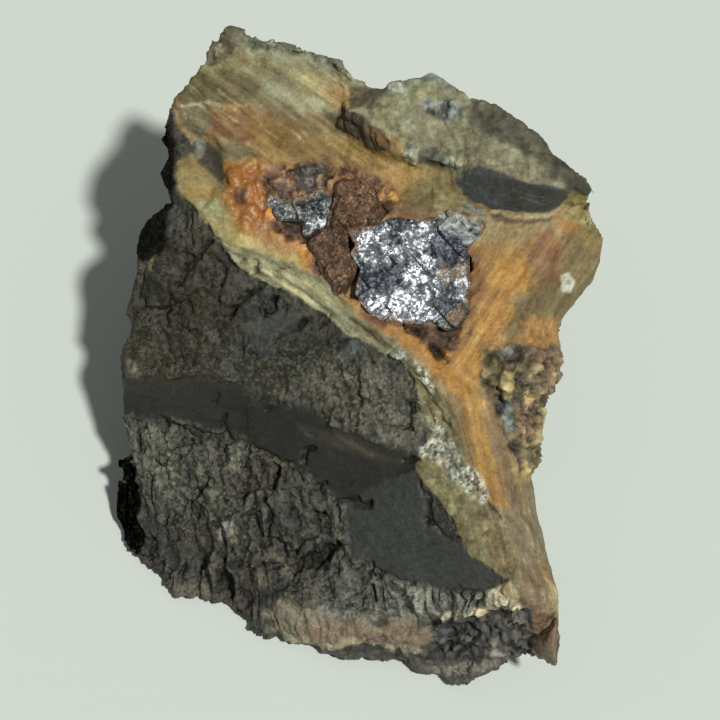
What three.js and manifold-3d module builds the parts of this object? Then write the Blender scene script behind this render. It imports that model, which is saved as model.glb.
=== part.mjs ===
// A hand specimen of lead ore: a wedge of dark slate whose top is a rust-stained vein face. Two masses of galena and
// a crust of brown limonite fill hollows in that face. Millimetres, +Z up, +Y away from the viewer. The stone rests
// on the flat it was broken to at z = 0, and the origin is on that flat, below the middle of the view.
import * as THREE from "three";
import { ImprovedNoise } from "three/addons/math/ImprovedNoise.js";
import { mergeVertices } from "three/addons/utils/BufferGeometryUtils.js";
import Module from "manifold-3d";

const wasm = await Module();
wasm.setup();

// The stone is described as it is looked at: a landmark is given by how far across and up the view it lies, in
// millimetres, and by its height above the table.
const EYE_ELEVATION = THREE.MathUtils.degToRad(60);
const EYE_DISTANCE = 420;
const VIEW_MIDDLE = new THREE.Vector3(0, 0, 34);

// The vein face: where it crosses the middle of the view, and how steeply it falls towards the viewer.
const VEIN_HEIGHT = 46;
const VEIN_UP_THE_VIEW = 10;
const VEIN_DIP = THREE.MathUtils.degToRad(19.3);

// Fracture relief on the host rock, and the longest edge of its facets where it is smooth and where it is hackly.
const SMOOTH_EDGE = 6.4;
const HACKLY_EDGE = 3.1;
const LUMP_SIZE = 13;
const LUMP_RELIEF = 1.7;
const CHIP_SIZE = 6;
const CHIP_RELIEF = 0.9;
const LEDGE_SPACING = 5.2;
const LEDGE_RELIEF = 0.8;

// The minerals that fill the hollows, and the gap that parts them from the rock.
const GALENA_DEPTH = 5;
const GALENA_CUBE = 2.9;
const GALENA_STEP = 0.38;
const CRUST_DEPTH = 4;
const CRUST_EDGE = 1.9;
const CRUST_LUMP = 3.4;
const CRUST_RELIEF = 1.3;
const SEAM = 0.32;

const towardsEye = new THREE.Vector3(0, -Math.cos(EYE_ELEVATION), Math.sin(EYE_ELEVATION));
const upTheView = new THREE.Vector3(0, Math.sin(EYE_ELEVATION), Math.cos(EYE_ELEVATION));
const eye = VIEW_MIDDLE.clone().addScaledVector(towardsEye, EYE_DISTANCE);

// The line of sight through a place in the view.
function sight(across, up) {
  const target = VIEW_MIDDLE.clone().addScaledVector(upTheView, up);
  target.x += across;
  return new THREE.Ray(eye, target.sub(eye).normalize());
}

// The point at a height above the table that is seen at a place in the view.
function seen(across, up, height) {
  const ray = sight(across, up);
  return ray.at((height - eye.z) / ray.direction.z, new THREE.Vector3());
}

// Where a point is seen: across and up the view.
function viewOf(point) {
  const line = point.clone().sub(eye);
  line.multiplyScalar(EYE_DISTANCE / -line.dot(towardsEye));
  return new THREE.Vector2(line.x, line.dot(upTheView));
}

const veinNormal = new THREE.Vector3(0, -Math.sin(VEIN_DIP), Math.cos(VEIN_DIP));
const veinPlane = new THREE.Plane().setFromNormalAndCoplanarPoint(
  veinNormal,
  seen(0, VEIN_UP_THE_VIEW, VEIN_HEIGHT),
);

// The point that is seen at a place in the view and stands proud of the vein face by lift.
function onVein(across, up, lift) {
  const raised = new THREE.Plane(veinPlane.normal, veinPlane.constant - lift);
  return sight(across, up).intersectPlane(raised, new THREE.Vector3());
}

// The outline of the stone against the table, clockwise from its upper left corner: across, up, height, and how
// rough the break is there, from 0 for a cleavage plane to 1 for a hackly fracture.
const OUTLINE = [
  // top of the vein face, and the notch before the slab
  [-25.3, 52.3, 60, 0.5], [-21.3, 54.7, 61.5, 0.6], [-16.3, 54, 62.5, 0.5], [-10.7, 52.3, 62.5, 0.5],
  [-7.5, 51.3, 62, 0.3], [-6.3, 53.1, 63, 0.2], [-3.7, 50, 62.5, 0.4], [-1, 46.7, 61, 0.4], [1.3, 45.3, 59, 0.3],
  [4, 45, 59.5, 0.3],
  // upper edge of the slab
  [5.2, 46.8, 62, 0.2], [8.3, 47.3, 63, 0.4], [12.2, 48.5, 63.5, 0.2], [15.3, 46.2, 63, 0.4], [18.3, 43.5, 62.5, 0.4],
  [23, 42.3, 62, 0.4], [26.7, 40, 61.5, 0.4], [31.3, 36.8, 60.5, 0.3], [32.3, 34.7, 60, 0.3], [36.3, 31.3, 58, 0.3],
  [39.8, 27.7, 54.5, 0],
  // right edge, down to the knob
  [38.7, 24.7, 49.5, 0.1], [40.5, 20.7, 44, 0.5], [40, 16.3, 41, 0.6], [38.7, 12.5, 38, 0.6], [36, 8, 36.5, 0.6],
  [32.7, 4.7, 36, 0.4],
  // the knob and the ragged edge under it
  [33.5, 1.3, 33, 0.6], [33.3, -2.5, 30.5, 0.6], [31.7, -6, 29, 0.6], [30, -8, 30, 0.6], [30.8, -11.7, 28, 0.8],
  [30.2, -15.3, 27, 0.8], [28.3, -19.5, 29, 0.5],
  // prow and its tail
  [30, -26.3, 27, 0.4], [31.7, -32.7, 25.5, 0.4], [33, -38.3, 24, 0.4], [33.7, -42, 22, 0.3], [33.4, -46.7, 18.5, 0.3],
  [33.1, -51.6, 14, 0], [31.1, -51.8, 12, 0], [29.6, -49.9, 12, 0.1], [26.7, -49.5, 10.5, 0.4], [25, -50.3, 8.5, 0.4],
  [22.7, -52.2, 6, 0.4], [20.2, -53.2, 4.5, 0.2], [18.3, -54.8, 3, 0],
  // front foot
  [15.7, -54.4, 2.5, 0.1], [13, -52.8, 2, 0.5], [10, -51.5, 2, 0.5], [7.3, -50.3, 2, 0.5], [2.7, -50.5, 2, 0.5],
  [-2.3, -50, 2, 0.5], [-6.3, -48.8, 2, 0.5], [-10, -46.7, 2.5, 0.5], [-17.3, -44.8, 1.5, 0.6],
  [-21.3, -43.2, 1.5, 0.5], [-23, -40.8, 1.5, 0.5], [-26.3, -40, 1.5, 0.4], [-31.5, -39.3, 1.5, 0.4],
  [-33.3, -37.3, 1.5, 0.4], [-37.2, -34.5, 1.5, 0.4], [-39, -32.2, 2, 0.4], [-39.8, -28.5, 2, 0.4],
  [-41.2, -26.3, 3, 0.3],
  // left edge, up to the upper left corner
  [-41.2, -23, 6, 0.4], [-40.5, -19.2, 11, 0.5], [-40.2, -14.7, 16, 0.5], [-40.7, -11, 20, 0.5],
  [-39.8, -6.7, 23.5, 0.2], [-40, -2.3, 27, 0.2], [-40, 1.7, 31, 0.3], [-38.5, 8, 35, 0.6], [-37.5, 12.5, 38, 0.6],
  [-35.5, 17.5, 41, 0.6], [-34.3, 23, 44.5, 0.6], [-31.5, 26.2, 47.5, 0.3], [-32.8, 31.3, 49.5, 0.5],
  [-32, 34.3, 51.5, 0.5], [-33.3, 36.8, 52.5, 0.5], [-31.2, 39.3, 54.5, 0.5], [-30.8, 43.5, 56.5, 0.5],
  [-28.5, 46.8, 58, 0.6], [-26.7, 49.7, 59.5, 0.5],
];

// Landmarks on the vein face: across, up, lift from its plane, and roughness.
const VEIN_FACE = [
  // left margin, broken by a small notch
  [-29.7, 42, -1, 0.3], [-29.5, 39, -1, 0.3], [-26.7, 36.3, -2.5, 0.3], [-27.3, 34, -3.5, 0.3],
  [-29.8, 31.7, -2, 0.2], [-30.3, 28, -1.5, 0.2], [-26.7, 24.7, -0.5, 0.2], [-23.2, 20.7, 0.5, 0.2],
  [-22, 17.7, 0, 0.2], [-24.7, 33.3, -3, 0.3], [-23, 30.3, -2, 0.3], [-24.2, 37.6, 0.2, 0.2], [-21.6, 33, 0.2, 0.3],
  // striated upper part
  [-24, 46.5, 0.2, 0.25], [-16.7, 48.3, 0.5, 0.25], [-8.3, 46.7, 0.8, 0.25], [-2.5, 43.3, 0, 0.2],
  [-21.7, 41.7, 0.7, 0.25], [-11.7, 40, 0.3, 0.25], [-18.3, 35, 0, 0.3], [-10, 33.3, -0.3, 0.3],
  [-1.7, 32.2, -0.5, 0.3], [6.7, 31, -0.5, 0.3], [13.3, 29.5, 0, 0.3], [-3, 47.3, 1, 0.2], [0, 43.7, 0.2, 0.2],
  // rusty knobs left of the small galena
  [-20.8, 29.2, 1.2, 0.6], [-18.3, 25.8, 1, 0.6], [-20, 20.8, 1, 0.5], [-14.2, 22.5, 0.2, 0.5], [-10, 25.8, -0.4, 0.4],
  [-15, 29.6, -0.3, 0.6], [-1.7, 26.7, 0, 0.5], [3, 26, -0.2, 0.5], [10, 25.8, 0.4, 0.5],
  // upper edge of the pale rind along the ridge
  [-16.3, 17.3, 0.3, 0.1], [-11.3, 15.7, 0.3, 0.1], [-6.7, 13.8, 0.5, 0.1], [-4.3, 11.2, 0.3, 0.1],
  [0.3, 6.7, 0.3, 0.1], [4.7, 2.8, 0.5, 0.1], [7.2, 1.2, 0.5, 0.1], [11.7, -2.8, 0.8, 0.1], [15, -7.5, 0.8, 0.1],
  [18, -13.3, 0.8, 0.2], [20.7, -22.5, 0.5, 0.1],
  // lower edge of the pale rind
  [-21.3, 15.6, -1.5, 0.2], [-18, 13.6, -2, 0.2], [-11.7, 11, -2.2, 0.1], [-6.7, 8, -2.2, 0.1],
  [-1.7, 4.6, -2, 0.1], [3, 1.8, -1.8, 0.1], [5.7, 0, -2, 0.1], [9.2, -4.2, -2.5, 0.2], [11.7, -8, -2.5, 0.3],
  [12.7, -12, -3, 0.3], [9.3, -16.3, -4, 0.3],
  // olive selvage down to the pale tip
  [13.3, -23.3, -3.5, 0.1], [16.3, -28, -3, 0.1], [19.2, -33, -2.5, 0.1], [23.3, -36.2, -1.5, 0.1],
  [26.2, -40, -0.8, 0.1], [15, -17.5, -1.2, 0.2], [18, -24, -1.4, 0.2], [23.3, -25.3, 0, 0.2],
  [25.8, -33.3, 0.3, 0.2], [28, -40, 0.3, 0.2],
  // orange trough, between the selvage and the right edge
  [18.3, -3.3, -1, 0.2], [21.7, -13.3, -1.2, 0.2], [24.2, -21.7, -0.8, 0.2], [27.5, -30, -0.3, 0.2],
  [30.8, -40, -0.3, 0.2], [31.3, -46.7, -2.5, 0.3], [14.2, 4.5, -0.8, 0.4], [12, 0.5, -0.6, 0.3],
  // orange face under the slab, falling to the right
  [17.8, 21, 0.3, 0.4], [20, 17, 0.3, 0.3], [20, 10, 0.3, 0.3], [18.3, 3.3, 0, 0.3], [26.7, 18.3, -0.8, 0.3],
  [25.8, 8.3, -0.8, 0.3], [31.7, 20, -2, 0.4], [36.7, 20.5, -4.5, 0.5], [31.7, 11.7, -3.5, 0.4],
  [35.8, 15, -5.5, 0.5], [28.3, 4.2, -3, 0.4],
  // knob and nodules on the right
  [23.3, 1.7, -0.5, 0.6], [26.7, 0.8, -0.6, 0.8], [30, 0.8, -2.6, 0.8], [30, -3.3, -3.2, 0.8], [25.6, -4.2, -0.3, 0.8],
  [22.8, -7, -1.6, 0.6], [25.8, -10, -2, 0.6], [28.3, -9.2, -3.5, 0.6], [26.7, -15, -2.5, 0.7], [26.2, -19, -2, 0.5],
  // foot of the step before the slab
  [-4.2, 38.3, -0.8, 0.2], [-1.3, 35.8, -0.5, 0.2], [3.5, 33.8, -0.3, 0.2], [7, 32.6, 0, 0.2], [12, 31.3, 0.2, 0.3],
  // upper edge of that step
  [-2.3, 41.4, 4.6, 0.2], [0.8, 39.7, 4.8, 0.3], [4.1, 36.6, 4.2, 0.3], [7, 34.8, 3, 0.3], [11.7, 33.4, 2.6, 0.4],
  [15.3, 32.4, 3.2, 0.4], [3, 42.7, 4.5, 0.2], [5, 45, 4.2, 0.2],
  // top of the slab
  [10, 43.3, 5, 0.3], [13.3, 41.7, 4.2, 0.3], [8.3, 38.3, 5, 0.3], [16.7, 37.5, 6, 0.3], [23.3, 37.5, 7, 0.3],
  [21.5, 33.6, 7.2, 0.3], [30.3, 32.5, 7.5, 0.3], [35, 29.6, 6, 0.2],
  // dark face of the slab: upper edge, then lower edge
  [19.3, 32.2, 6.5, 0.1], [23.3, 30.5, 7, 0.05], [28.3, 29.3, 7.2, 0.05], [33.3, 28.3, 6, 0.05],
  [15.3, 29.2, 1, 0.3], [18.3, 25.8, 0.5, 0.1], [22, 24.3, 0.2, 0.1], [26.7, 23.8, -0.3, 0.1],
  [30.8, 24.7, -1, 0.2], [33.8, 26, -1.6, 0.2], [36.4, 25.4, -2.2, 0.1],
];

// Landmarks on the slate: across, up, height above the table, and roughness.
const SLATE_FACE = [
  // left margin of the front face
  [-28.6, 24, 47.2, 0.4], [-32.2, 22, 45.4, 0.5], [-32.5, 18, 44.2, 0.6], [-33.5, 14.2, 42, 0.6],
  [-37.2, 6.7, 35.6, 0.6], [-38, -8.8, 20.6, 0.5], [-38.6, -16.7, 16.4, 0.6], [-36.3, -19.2, 14, 0.5],
  [-36.2, -26.7, 8.5, 0.5], [-35.2, -31.3, 5.4, 0.4],
  // upper part of the front face
  [-25.8, 17.2, 46, 0.6], [-27, 12, 42.6, 0.8], [-21.7, 11.4, 43.4, 0.7], [-16.7, 8.3, 42, 0.4], [-10, 5, 41.4, 0.4],
  [-26.7, 6.7, 38.6, 0.8], [-18.3, 1.7, 37, 0.5], [-8.3, -1.7, 36.8, 0.5], [0, -1.7, 39.4, 0.5],
  [-31.7, 1.7, 33.6, 0.7], [1.7, -8.3, 35, 0.6], [6.7, -6.7, 37.4, 0.7], [8.3, -11.7, 35.4, 0.7],
  // upper edge of the smooth riser
  [-38.3, -2.5, 28.5, 0.3], [-32.5, -2, 30.5, 0.4], [-25.8, -2, 32.3, 0.4], [-18.3, -5.3, 31.5, 0.4],
  [-10, -7.5, 32.3, 0.4], [-2.5, -10.8, 32.5, 0.4], [4.2, -14.2, 33.4, 0.3],
  // lower edge of the smooth riser
  [-32.5, -10, 21, 0.3], [-25.8, -12, 21.4, 0.3], [-21.7, -13, 21.2, 0.3], [-16.3, -15.8, 22, 0.1],
  [-10, -19.2, 22, 0.1], [-3.3, -23.3, 21.4, 0.1],
  // hackly bulge of the foot
  [-35, -13.5, 19, 0.8], [-35, -21.7, 13, 0.9], [-30, -16.7, 17.6, 0.8], [-26.7, -23.3, 14.6, 1],
  [-24.2, -28.3, 12.6, 1], [-30.8, -30, 8.6, 0.9], [-20.5, -16, 20.4, 0.8], [-20, -23.3, 16.6, 1],
  [-13.3, -24, 18, 0.9], [-16.7, -31.7, 12.6, 1], [-10, -30, 15.6, 0.9], [-7.5, -25.6, 18.8, 0.6],
  [-22.5, -36.7, 7, 0.7], [-15, -38.3, 9, 0.8], [-10, -39.5, 11, 0.6],
  // hollow beside the bulge
  [-4.2, -27.2, 18, 0.5], [-2.5, -31.5, 15.6, 0.4], [-10, -34.2, 11.6, 0.4], [-5, -38.3, 12.6, 0.8],
  [-1.7, -35.8, 14.6, 0.7],
  // smooth lower plane
  [9.8, -18.6, 33.2, 0], [10.6, -22.4, 31.6, 0], [1.7, -26.7, 22.3, 0], [3.5, -20.5, 27.4, 0], [13.3, -28.3, 28.4, 0],
  [6.7, -36, 18.6, 0.1], [19.6, -37.6, 26, 0], [10, -33.3, 22.7, 0], [0, -31.7, 17.4, 0.1],
  // hackly strip below it
  [-2.5, -40.8, 12, 0.6], [2.5, -39.6, 14.2, 0.6], [8.3, -40.4, 15.2, 0.5], [13.3, -41, 16.6, 0.3],
  [18.3, -40.6, 21, 0.2], [23.3, -40.1, 27, 0.1],
  // tan seam round the foot: upper edge, then lower edge
  [-5.8, -42.2, 10.6, 0.2], [0, -42.7, 11.6, 0.2], [6.7, -44.2, 11.2, 0.2], [12.5, -43.9, 13, 0.3],
  [-10.3, -44.6, 7, 0.2], [-6.7, -46, 7.6, 0.2], [-2.5, -46.4, 8, 0.2], [2.5, -45.5, 9.6, 0.2],
  [8.3, -47.3, 9, 0.3], [13, -48.5, 8, 0.4],
  // glittering face under the prow
  [16.7, -44.6, 15, 0.7], [15.8, -50.8, 6, 0.7], [20.8, -46.7, 14, 0.8], [25.8, -44.2, 19.6, 0.6],
  [26.7, -47.2, 14.4, 0.7], [29.4, -46.4, 17, 0.5], [20, -50.8, 7.6, 0.7], [20, -42.6, 19, 0.3],
  [26.2, -41.4, 26.6, 0.1],
  // lower left facet
  [-28.3, -36, 4.6, 0.3], [-24.6, -38.6, 4.2, 0.3],
];

// The side away from the viewer and the underside: x, y, z and roughness.
const HIDDEN_SIDE = [
  // back, from the top down
  [-24, 48, 45, 0.5], [-6, 48, 47, 0.4], [12, 44, 49, 0.5], [29, 33, 43, 0.5], [-29, 42, 24, 0.6], [-8, 50, 26, 0.6],
  [14, 44, 24, 0.6], [28, 27, 24, 0.6], [-18, 50, 34, 0.6], [3, 50, 36, 0.6], [22, 39, 33, 0.6], [-9, 47, 53, 0.3],
  [2, 41, 50, 0.3],
  // right flank, leaning in towards the foot
  [31, 10, 24, 0.6], [27, -10, 16, 0.6], [28, -30, 14, 0.6], [36.5, 20, 32, 0.5], [27, -22, 8, 0.6],
  // left flank
  [-37, 16, 28, 0.6], [-30, 34, 32, 0.6], [-38, 2, 14, 0.6], [-34, 26, 16, 0.7], [-30, 38, 42, 0.6],
  // underside, below the flat that is broken off it
  [-29, 34, -2, 0.3], [-12, 44, -2, 0.3], [9, 38, -2, 0.3], [21, 20, -2, 0.3], [24, -5, -2, 0.3], [22, -28, -2, 0.3],
  [13, -40, -2, 0.3], [-4, -35, -2, 0.3], [-21, -26, -2, 0.3], [-36, -9, -2, 0.3], [-35, 14, -2, 0.3],
  [-6, 5, -3, 0.2], [-20, 12, -3, 0.2], [8, -15, -3, 0.2],
];

// Outlines of the minerals on the vein face, anticlockwise or clockwise, across and up the view.
const LARGE_GALENA = [
  [-1.6, 21.4], [0.2, 21.8], [1.8, 21.7], [2.6, 21.1], [3.2, 22.3], [4.9, 23.2], [6.5, 23.5], [7.9, 23], [9.9, 22.8],
  [11.4, 23.3], [12.7, 23.4], [14.5, 24.5], [16.8, 24.2], [19.3, 23.4], [20.7, 22.4], [20, 21.4], [18.5, 19.8],
  [17.4, 18.9], [17.8, 16.8], [17.9, 12], [18, 8.6], [17, 6.7], [16.2, 5.7], [14.3, 5.4], [13.2, 6.1],
  [11.8, 6.8], [9.4, 6.5], [7.2, 6.8], [6.5, 6], [4, 6.6], [2.2, 7.5], [0.4, 8.6], [0.4, 9.8], [-0.4, 11.2],
  [-0.1, 13], [0.5, 15.1], [-1.2, 17.8], [-0.3, 18.9], [-0.6, 19.6],
];
const SMALL_GALENA = [
  [-15.7, 25], [-15.2, 26.7], [-14.3, 27.8], [-13.3, 26.7], [-10.8, 26.9], [-8.4, 27.4], [-6.5, 28.4], [-4.7, 27.8],
  [-4.5, 26.7], [-5, 25.3], [-5.5, 23.7], [-5.7, 22.3], [-7.3, 22], [-8.4, 20.7], [-9.2, 20.9], [-9.1, 22.3],
  [-8.7, 23.2], [-11.7, 23.4], [-13.4, 23.4], [-14.3, 24.5],
];
const BROWN_CRUST = [
  [-3.9, 29.2], [-2.6, 30], [-0.6, 29.6], [1.2, 29], [2.2, 27.8], [3, 26], [3.9, 24.6], [3, 23.1], [1.6, 22.5],
  [-0.4, 22.6], [-2.4, 21.8], [-2.4, 19.8], [-2.2, 18], [-0.9, 15.6], [-1.2, 14.4], [-2.6, 12.2], [-3.3, 11],
  [-4, 11.2], [-4.8, 12.6], [-6, 14.2], [-6.8, 16.6], [-8, 18], [-8.6, 19.2], [-8, 20], [-7, 20.9], [-5.2, 22.1],
  [-4.7, 24.4], [-4, 26.4],
];
// The open crack between the crust and the large galena.
const CRACK = [[-2.6, 22.4], [-1.2, 21.8], [0, 19], [-0.6, 17.6], [1, 15.2], [0.6, 9.6], [-2.6, 10.6], [-3, 12]];
const CRACK_DEPTH = 3.4;

const perlin = new ImprovedNoise();

// Perlin noise of a point at a scale.
function noise(point, size, seed = 0) {
  return perlin.noise(point.x / size + seed, point.y / size + seed * 1.7, point.z / size + seed * 2.3);
}

// Ridged noise, from 0 in the valleys to 1 on the crests.
function ridges(point, size, seed) {
  return 1 - 2 * Math.abs(noise(point, size, seed));
}

// A repeatable number from 0 to 1 for a cell of a lattice.
function scatter(i, j, k, salt) {
  const s = Math.sin(i * 127.1 + j * 311.7 + k * 74.7 + salt * 53.3) * 43758.5453;
  return s - Math.floor(s);
}

// Broken chips: each cell round a scattered centre is a small plane with a tilt of its own.
function chips(point, size) {
  const at = point.clone().divideScalar(size);
  const [ci, cj, ck] = [Math.floor(at.x), Math.floor(at.y), Math.floor(at.z)];
  let nearest = Infinity;
  let height = 0;
  for (let i = ci - 1; i <= ci + 1; i++)
    for (let j = cj - 1; j <= cj + 1; j++)
      for (let k = ck - 1; k <= ck + 1; k++) {
        const centre = new THREE.Vector3(i + scatter(i, j, k, 1), j + scatter(i, j, k, 2), k + scatter(i, j, k, 3));
        const away = at.clone().sub(centre);
        if (away.lengthSq() < nearest) {
          nearest = away.lengthSq();
          const tilt = new THREE.Vector3(scatter(i, j, k, 4), scatter(i, j, k, 5), scatter(i, j, k, 6));
          height = away.dot(tilt.subScalar(0.5)) * 2 + scatter(i, j, k, 7) - 0.5;
        }
      }
  return height;
}

// The slate's cleavage strikes across the front face and breaks in low ledges.
const CLEAVAGE_NORMAL = new THREE.Vector3(0.35, -0.42, -0.84).normalize();
function ledges(point) {
  const height = point.dot(CLEAVAGE_NORMAL) / LEDGE_SPACING + 0.9 * noise(point, 15, 5);
  const share = height - Math.floor(height);
  return Math.min(share / 0.8, (1 - share) / 0.2) - 0.5;
}

// The fracture relief of the host rock at a point, for a roughness from 0 to 1.
function fracture(point, roughness) {
  const lumps = ridges(point, LUMP_SIZE, 3) - 0.5 + 0.5 * noise(point, LUMP_SIZE / 2, 9);
  const fine = CHIP_RELIEF * chips(point, CHIP_SIZE) + LEDGE_RELIEF * ledges(point);
  return roughness * (LUMP_RELIEF * lumps + fine);
}

// Triangles between points of a plane (Bowyer and Watson's method), as triples of indices.
function delaunay(points) {
  const far = 1e4;
  const all = [...points, new THREE.Vector2(-far, -far), new THREE.Vector2(far, -far), new THREE.Vector2(0, far)];
  const n = points.length;
  const withCircle = (a, b, c) => {
    const [p, q, r] = [all[a], all[b], all[c]];
    const d = 2 * (p.x * (q.y - r.y) + q.x * (r.y - p.y) + r.x * (p.y - q.y));
    const [pp, qq, rr] = [p.lengthSq(), q.lengthSq(), r.lengthSq()];
    const x = (pp * (q.y - r.y) + qq * (r.y - p.y) + rr * (p.y - q.y)) / d;
    const y = (pp * (r.x - q.x) + qq * (p.x - r.x) + rr * (q.x - p.x)) / d;
    return { corners: d > 0 ? [a, b, c] : [a, c, b], x, y, radius2: (p.x - x) ** 2 + (p.y - y) ** 2 };
  };
  let triangles = [withCircle(n, n + 1, n + 2)];
  for (let i = 0; i < n; i++) {
    const inside = (t) => (all[i].x - t.x) ** 2 + (all[i].y - t.y) ** 2 < t.radius2;
    const edges = new Map();
    for (const { corners } of triangles.filter(inside))
      for (let e = 0; e < 3; e++) {
        const [a, b] = [corners[e], corners[(e + 1) % 3]];
        const back = `${b},${a}`;
        if (edges.has(back)) edges.delete(back);
        else edges.set(`${a},${b}`, [a, b]);
      }
    triangles = triangles.filter((t) => !inside(t));
    for (const [a, b] of edges.values()) triangles.push(withCircle(a, b, i));
  }
  return triangles.map((t) => t.corners).filter((corners) => Math.max(...corners) < n);
}

// Whether a point of the view is inside a closed outline.
function insideOutline(point, outline) {
  let inside = false;
  outline.forEach((a, i) => {
    const b = outline[(i + 1) % outline.length];
    if (a.y > point.y !== b.y > point.y && point.x < ((b.x - a.x) * (point.y - a.y)) / (b.y - a.y) + a.x)
      inside = !inside;
  });
  return inside;
}

// Triangles over an outline and the points within it. The outline comes first in points.
function sheet(points, outlineCount) {
  const outline = points.slice(0, outlineCount);
  const middle = ([a, b, c]) => points[a].clone().add(points[b]).add(points[c]).divideScalar(3);
  const kept = delaunay(points).filter((corners) => insideOutline(middle(corners), outline));
  const edges = new Set(kept.flatMap(([a, b, c]) => [`${a},${b}`, `${b},${c}`, `${c},${a}`]));
  for (let i = 0; i < outlineCount; i++) {
    const j = (i + 1) % outlineCount;
    if (!edges.has(`${i},${j}`) && !edges.has(`${j},${i}`)) throw new Error(`outline edge ${i} is crossed`);
  }
  return kept;
}

// Splits every long edge at its middle, until none is left. A vertex is {at, roughness}, and an edge may be as long
// as smoothEdge between smooth vertices and hacklyEdge between hackly ones.
function refine(vertices, triangles, smoothEdge, hacklyEdge) {
  for (;;) {
    const middles = new Map();
    const middleOf = (a, b) => {
      const hackly = (vertices[a].roughness + vertices[b].roughness) / 2;
      const longest = THREE.MathUtils.lerp(smoothEdge, hacklyEdge, hackly);
      if (vertices[a].at.distanceTo(vertices[b].at) <= longest) return -1;
      const key = a < b ? `${a},${b}` : `${b},${a}`;
      if (!middles.has(key)) {
        const at = vertices[a].at.clone().lerp(vertices[b].at, 0.5);
        vertices.push({ at, roughness: (vertices[a].roughness + vertices[b].roughness) / 2 });
        middles.set(key, vertices.length - 1);
      }
      return middles.get(key);
    };
    const next = [];
    for (const [a, b, c] of triangles) {
      const cut = [middleOf(a, b), middleOf(b, c), middleOf(c, a)];
      const count = cut.filter((m) => m >= 0).length;
      if (count === 0) next.push([a, b, c]);
      else if (count === 3)
        next.push([a, cut[0], cut[2]], [cut[0], b, cut[1]], [cut[2], cut[1], c], [cut[0], cut[1], cut[2]]);
      else {
        // Turned so that the first edge is cut and, with two cuts, the last one isn't.
        let turn = cut.findIndex((m) => m >= 0);
        if (count === 2 && cut[(turn + 1) % 3] < 0) turn = (turn + 2) % 3;
        const [p, q, r] = [0, 1, 2].map((k) => [a, b, c][(turn + k) % 3]);
        const [m, k] = [cut[turn], cut[(turn + 1) % 3]];
        if (count === 1) next.push([p, m, r], [m, q, r]);
        else next.push([m, q, k], [p, m, k], [p, k, r]);
      }
    }
    triangles = next;
    if (middles.size === 0) return triangles;
  }
}

// Outward normals at the vertices, from the faces round them.
function normalsOf(vertices, triangles) {
  const normals = vertices.map(() => new THREE.Vector3());
  for (const [a, b, c] of triangles) {
    const side = vertices[b].at.clone().sub(vertices[a].at);
    const face = side.cross(vertices[c].at.clone().sub(vertices[a].at));
    for (const corner of [a, b, c]) normals[corner].add(face);
  }
  return normals.map((normal) => normal.normalize());
}

// Moves each vertex a share of the way to the mean of its neighbours.
function soften(vertices, triangles, share) {
  const sums = vertices.map(() => ({ total: new THREE.Vector3(), count: 0 }));
  for (const corners of triangles)
    for (let e = 0; e < 3; e++) {
      sums[corners[e]].total.add(vertices[corners[(e + 1) % 3]].at);
      sums[corners[e]].count++;
    }
  vertices.forEach((vertex, i) => vertex.at.lerp(sums[i].total.divideScalar(sums[i].count), share));
}

function solidFrom(points, triangles) {
  const vertProperties = new Float32Array(points.flatMap((p) => [p.x, p.y, p.z]));
  const mesh = new wasm.Mesh({ numProp: 3, vertProperties, triVerts: new Uint32Array(triangles.flat()) });
  return new wasm.Manifold(mesh);
}

// The host rock: the seen side and the hidden side meet along the outline, and the break is roughened.
function hostRock() {
  const landmark = (at, roughness) => ({ at, roughness });
  const outline = OUTLINE.map(([across, up, height, rough]) => landmark(seen(across, up, height), rough));
  const seenSide = [
    ...VEIN_FACE.map(([across, up, lift, rough]) => landmark(onVein(across, up, lift), rough)),
    ...SLATE_FACE.map(([across, up, height, rough]) => landmark(seen(across, up, height), rough)),
  ];
  const hiddenSide = HIDDEN_SIDE.map(([x, y, z, rough]) => landmark(new THREE.Vector3(x, y, z), rough));
  const vertices = [...outline, ...seenSide, ...hiddenSide];
  const n = outline.length;
  const places = (list) => list.map((vertex) => viewOf(vertex.at));
  const front = sheet(places([...outline, ...seenSide]), n);
  const back = sheet(places([...outline, ...hiddenSide]), n);
  const shifted = (i) => (i < n ? i : i + seenSide.length);
  const coarse = [...front, ...back.map(([a, b, c]) => [shifted(a), shifted(c), shifted(b)])];
  const triangles = refine(vertices, coarse, SMOOTH_EDGE, HACKLY_EDGE);
  soften(vertices, triangles, 0.25);
  const normals = normalsOf(vertices, triangles);
  const points = vertices.map(({ at, roughness }, i) =>
    at.clone().addScaledVector(normals[i], fracture(at, roughness)),
  );
  return largestBody(solidFrom(points, triangles));
}

// The stone without the splinters that its break leaves beside it.
function largestBody(solid) {
  return solid.decompose().reduce((best, body) => (body.volume() > best.volume() ? body : best));
}

// An upright prism on the vein face over an outline of the view, from below the face to above it.
function prism(outline, below, above, grow = 0) {
  const frame = new THREE.Matrix4().makeRotationX(VEIN_DIP).setPosition(onVein(0, VEIN_UP_THE_VIEW, 0));
  const toFace = frame.clone().invert();
  const flat = outline.map(([across, up]) => {
    const p = onVein(across, up, 0).applyMatrix4(toFace);
    return new THREE.Vector2(p.x, p.y);
  });
  if (THREE.ShapeUtils.isClockWise(flat)) flat.reverse();
  const grown = flat.map((p, i) => {
    const before = flat[(i + flat.length - 1) % flat.length];
    const after = flat[(i + 1) % flat.length];
    const along = after.clone().sub(before).normalize();
    return new THREE.Vector2(p.x + along.y * grow, p.y - along.x * grow);
  });
  const block = new THREE.ExtrudeGeometry(new THREE.Shape(grown), { depth: below + above, bevelEnabled: false });
  return manifoldOf(block.translate(0, 0, -below).applyMatrix4(frame));
}

function manifoldOf(geometry) {
  geometry.deleteAttribute("normal");
  geometry.deleteAttribute("uv");
  const merged = mergeVertices(geometry, 1e-4);
  const vertProperties = merged.attributes.position.array;
  return new wasm.Manifold(new wasm.Mesh({ numProp: 3, vertProperties, triVerts: new Uint32Array(merged.index.array) }));
}

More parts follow.
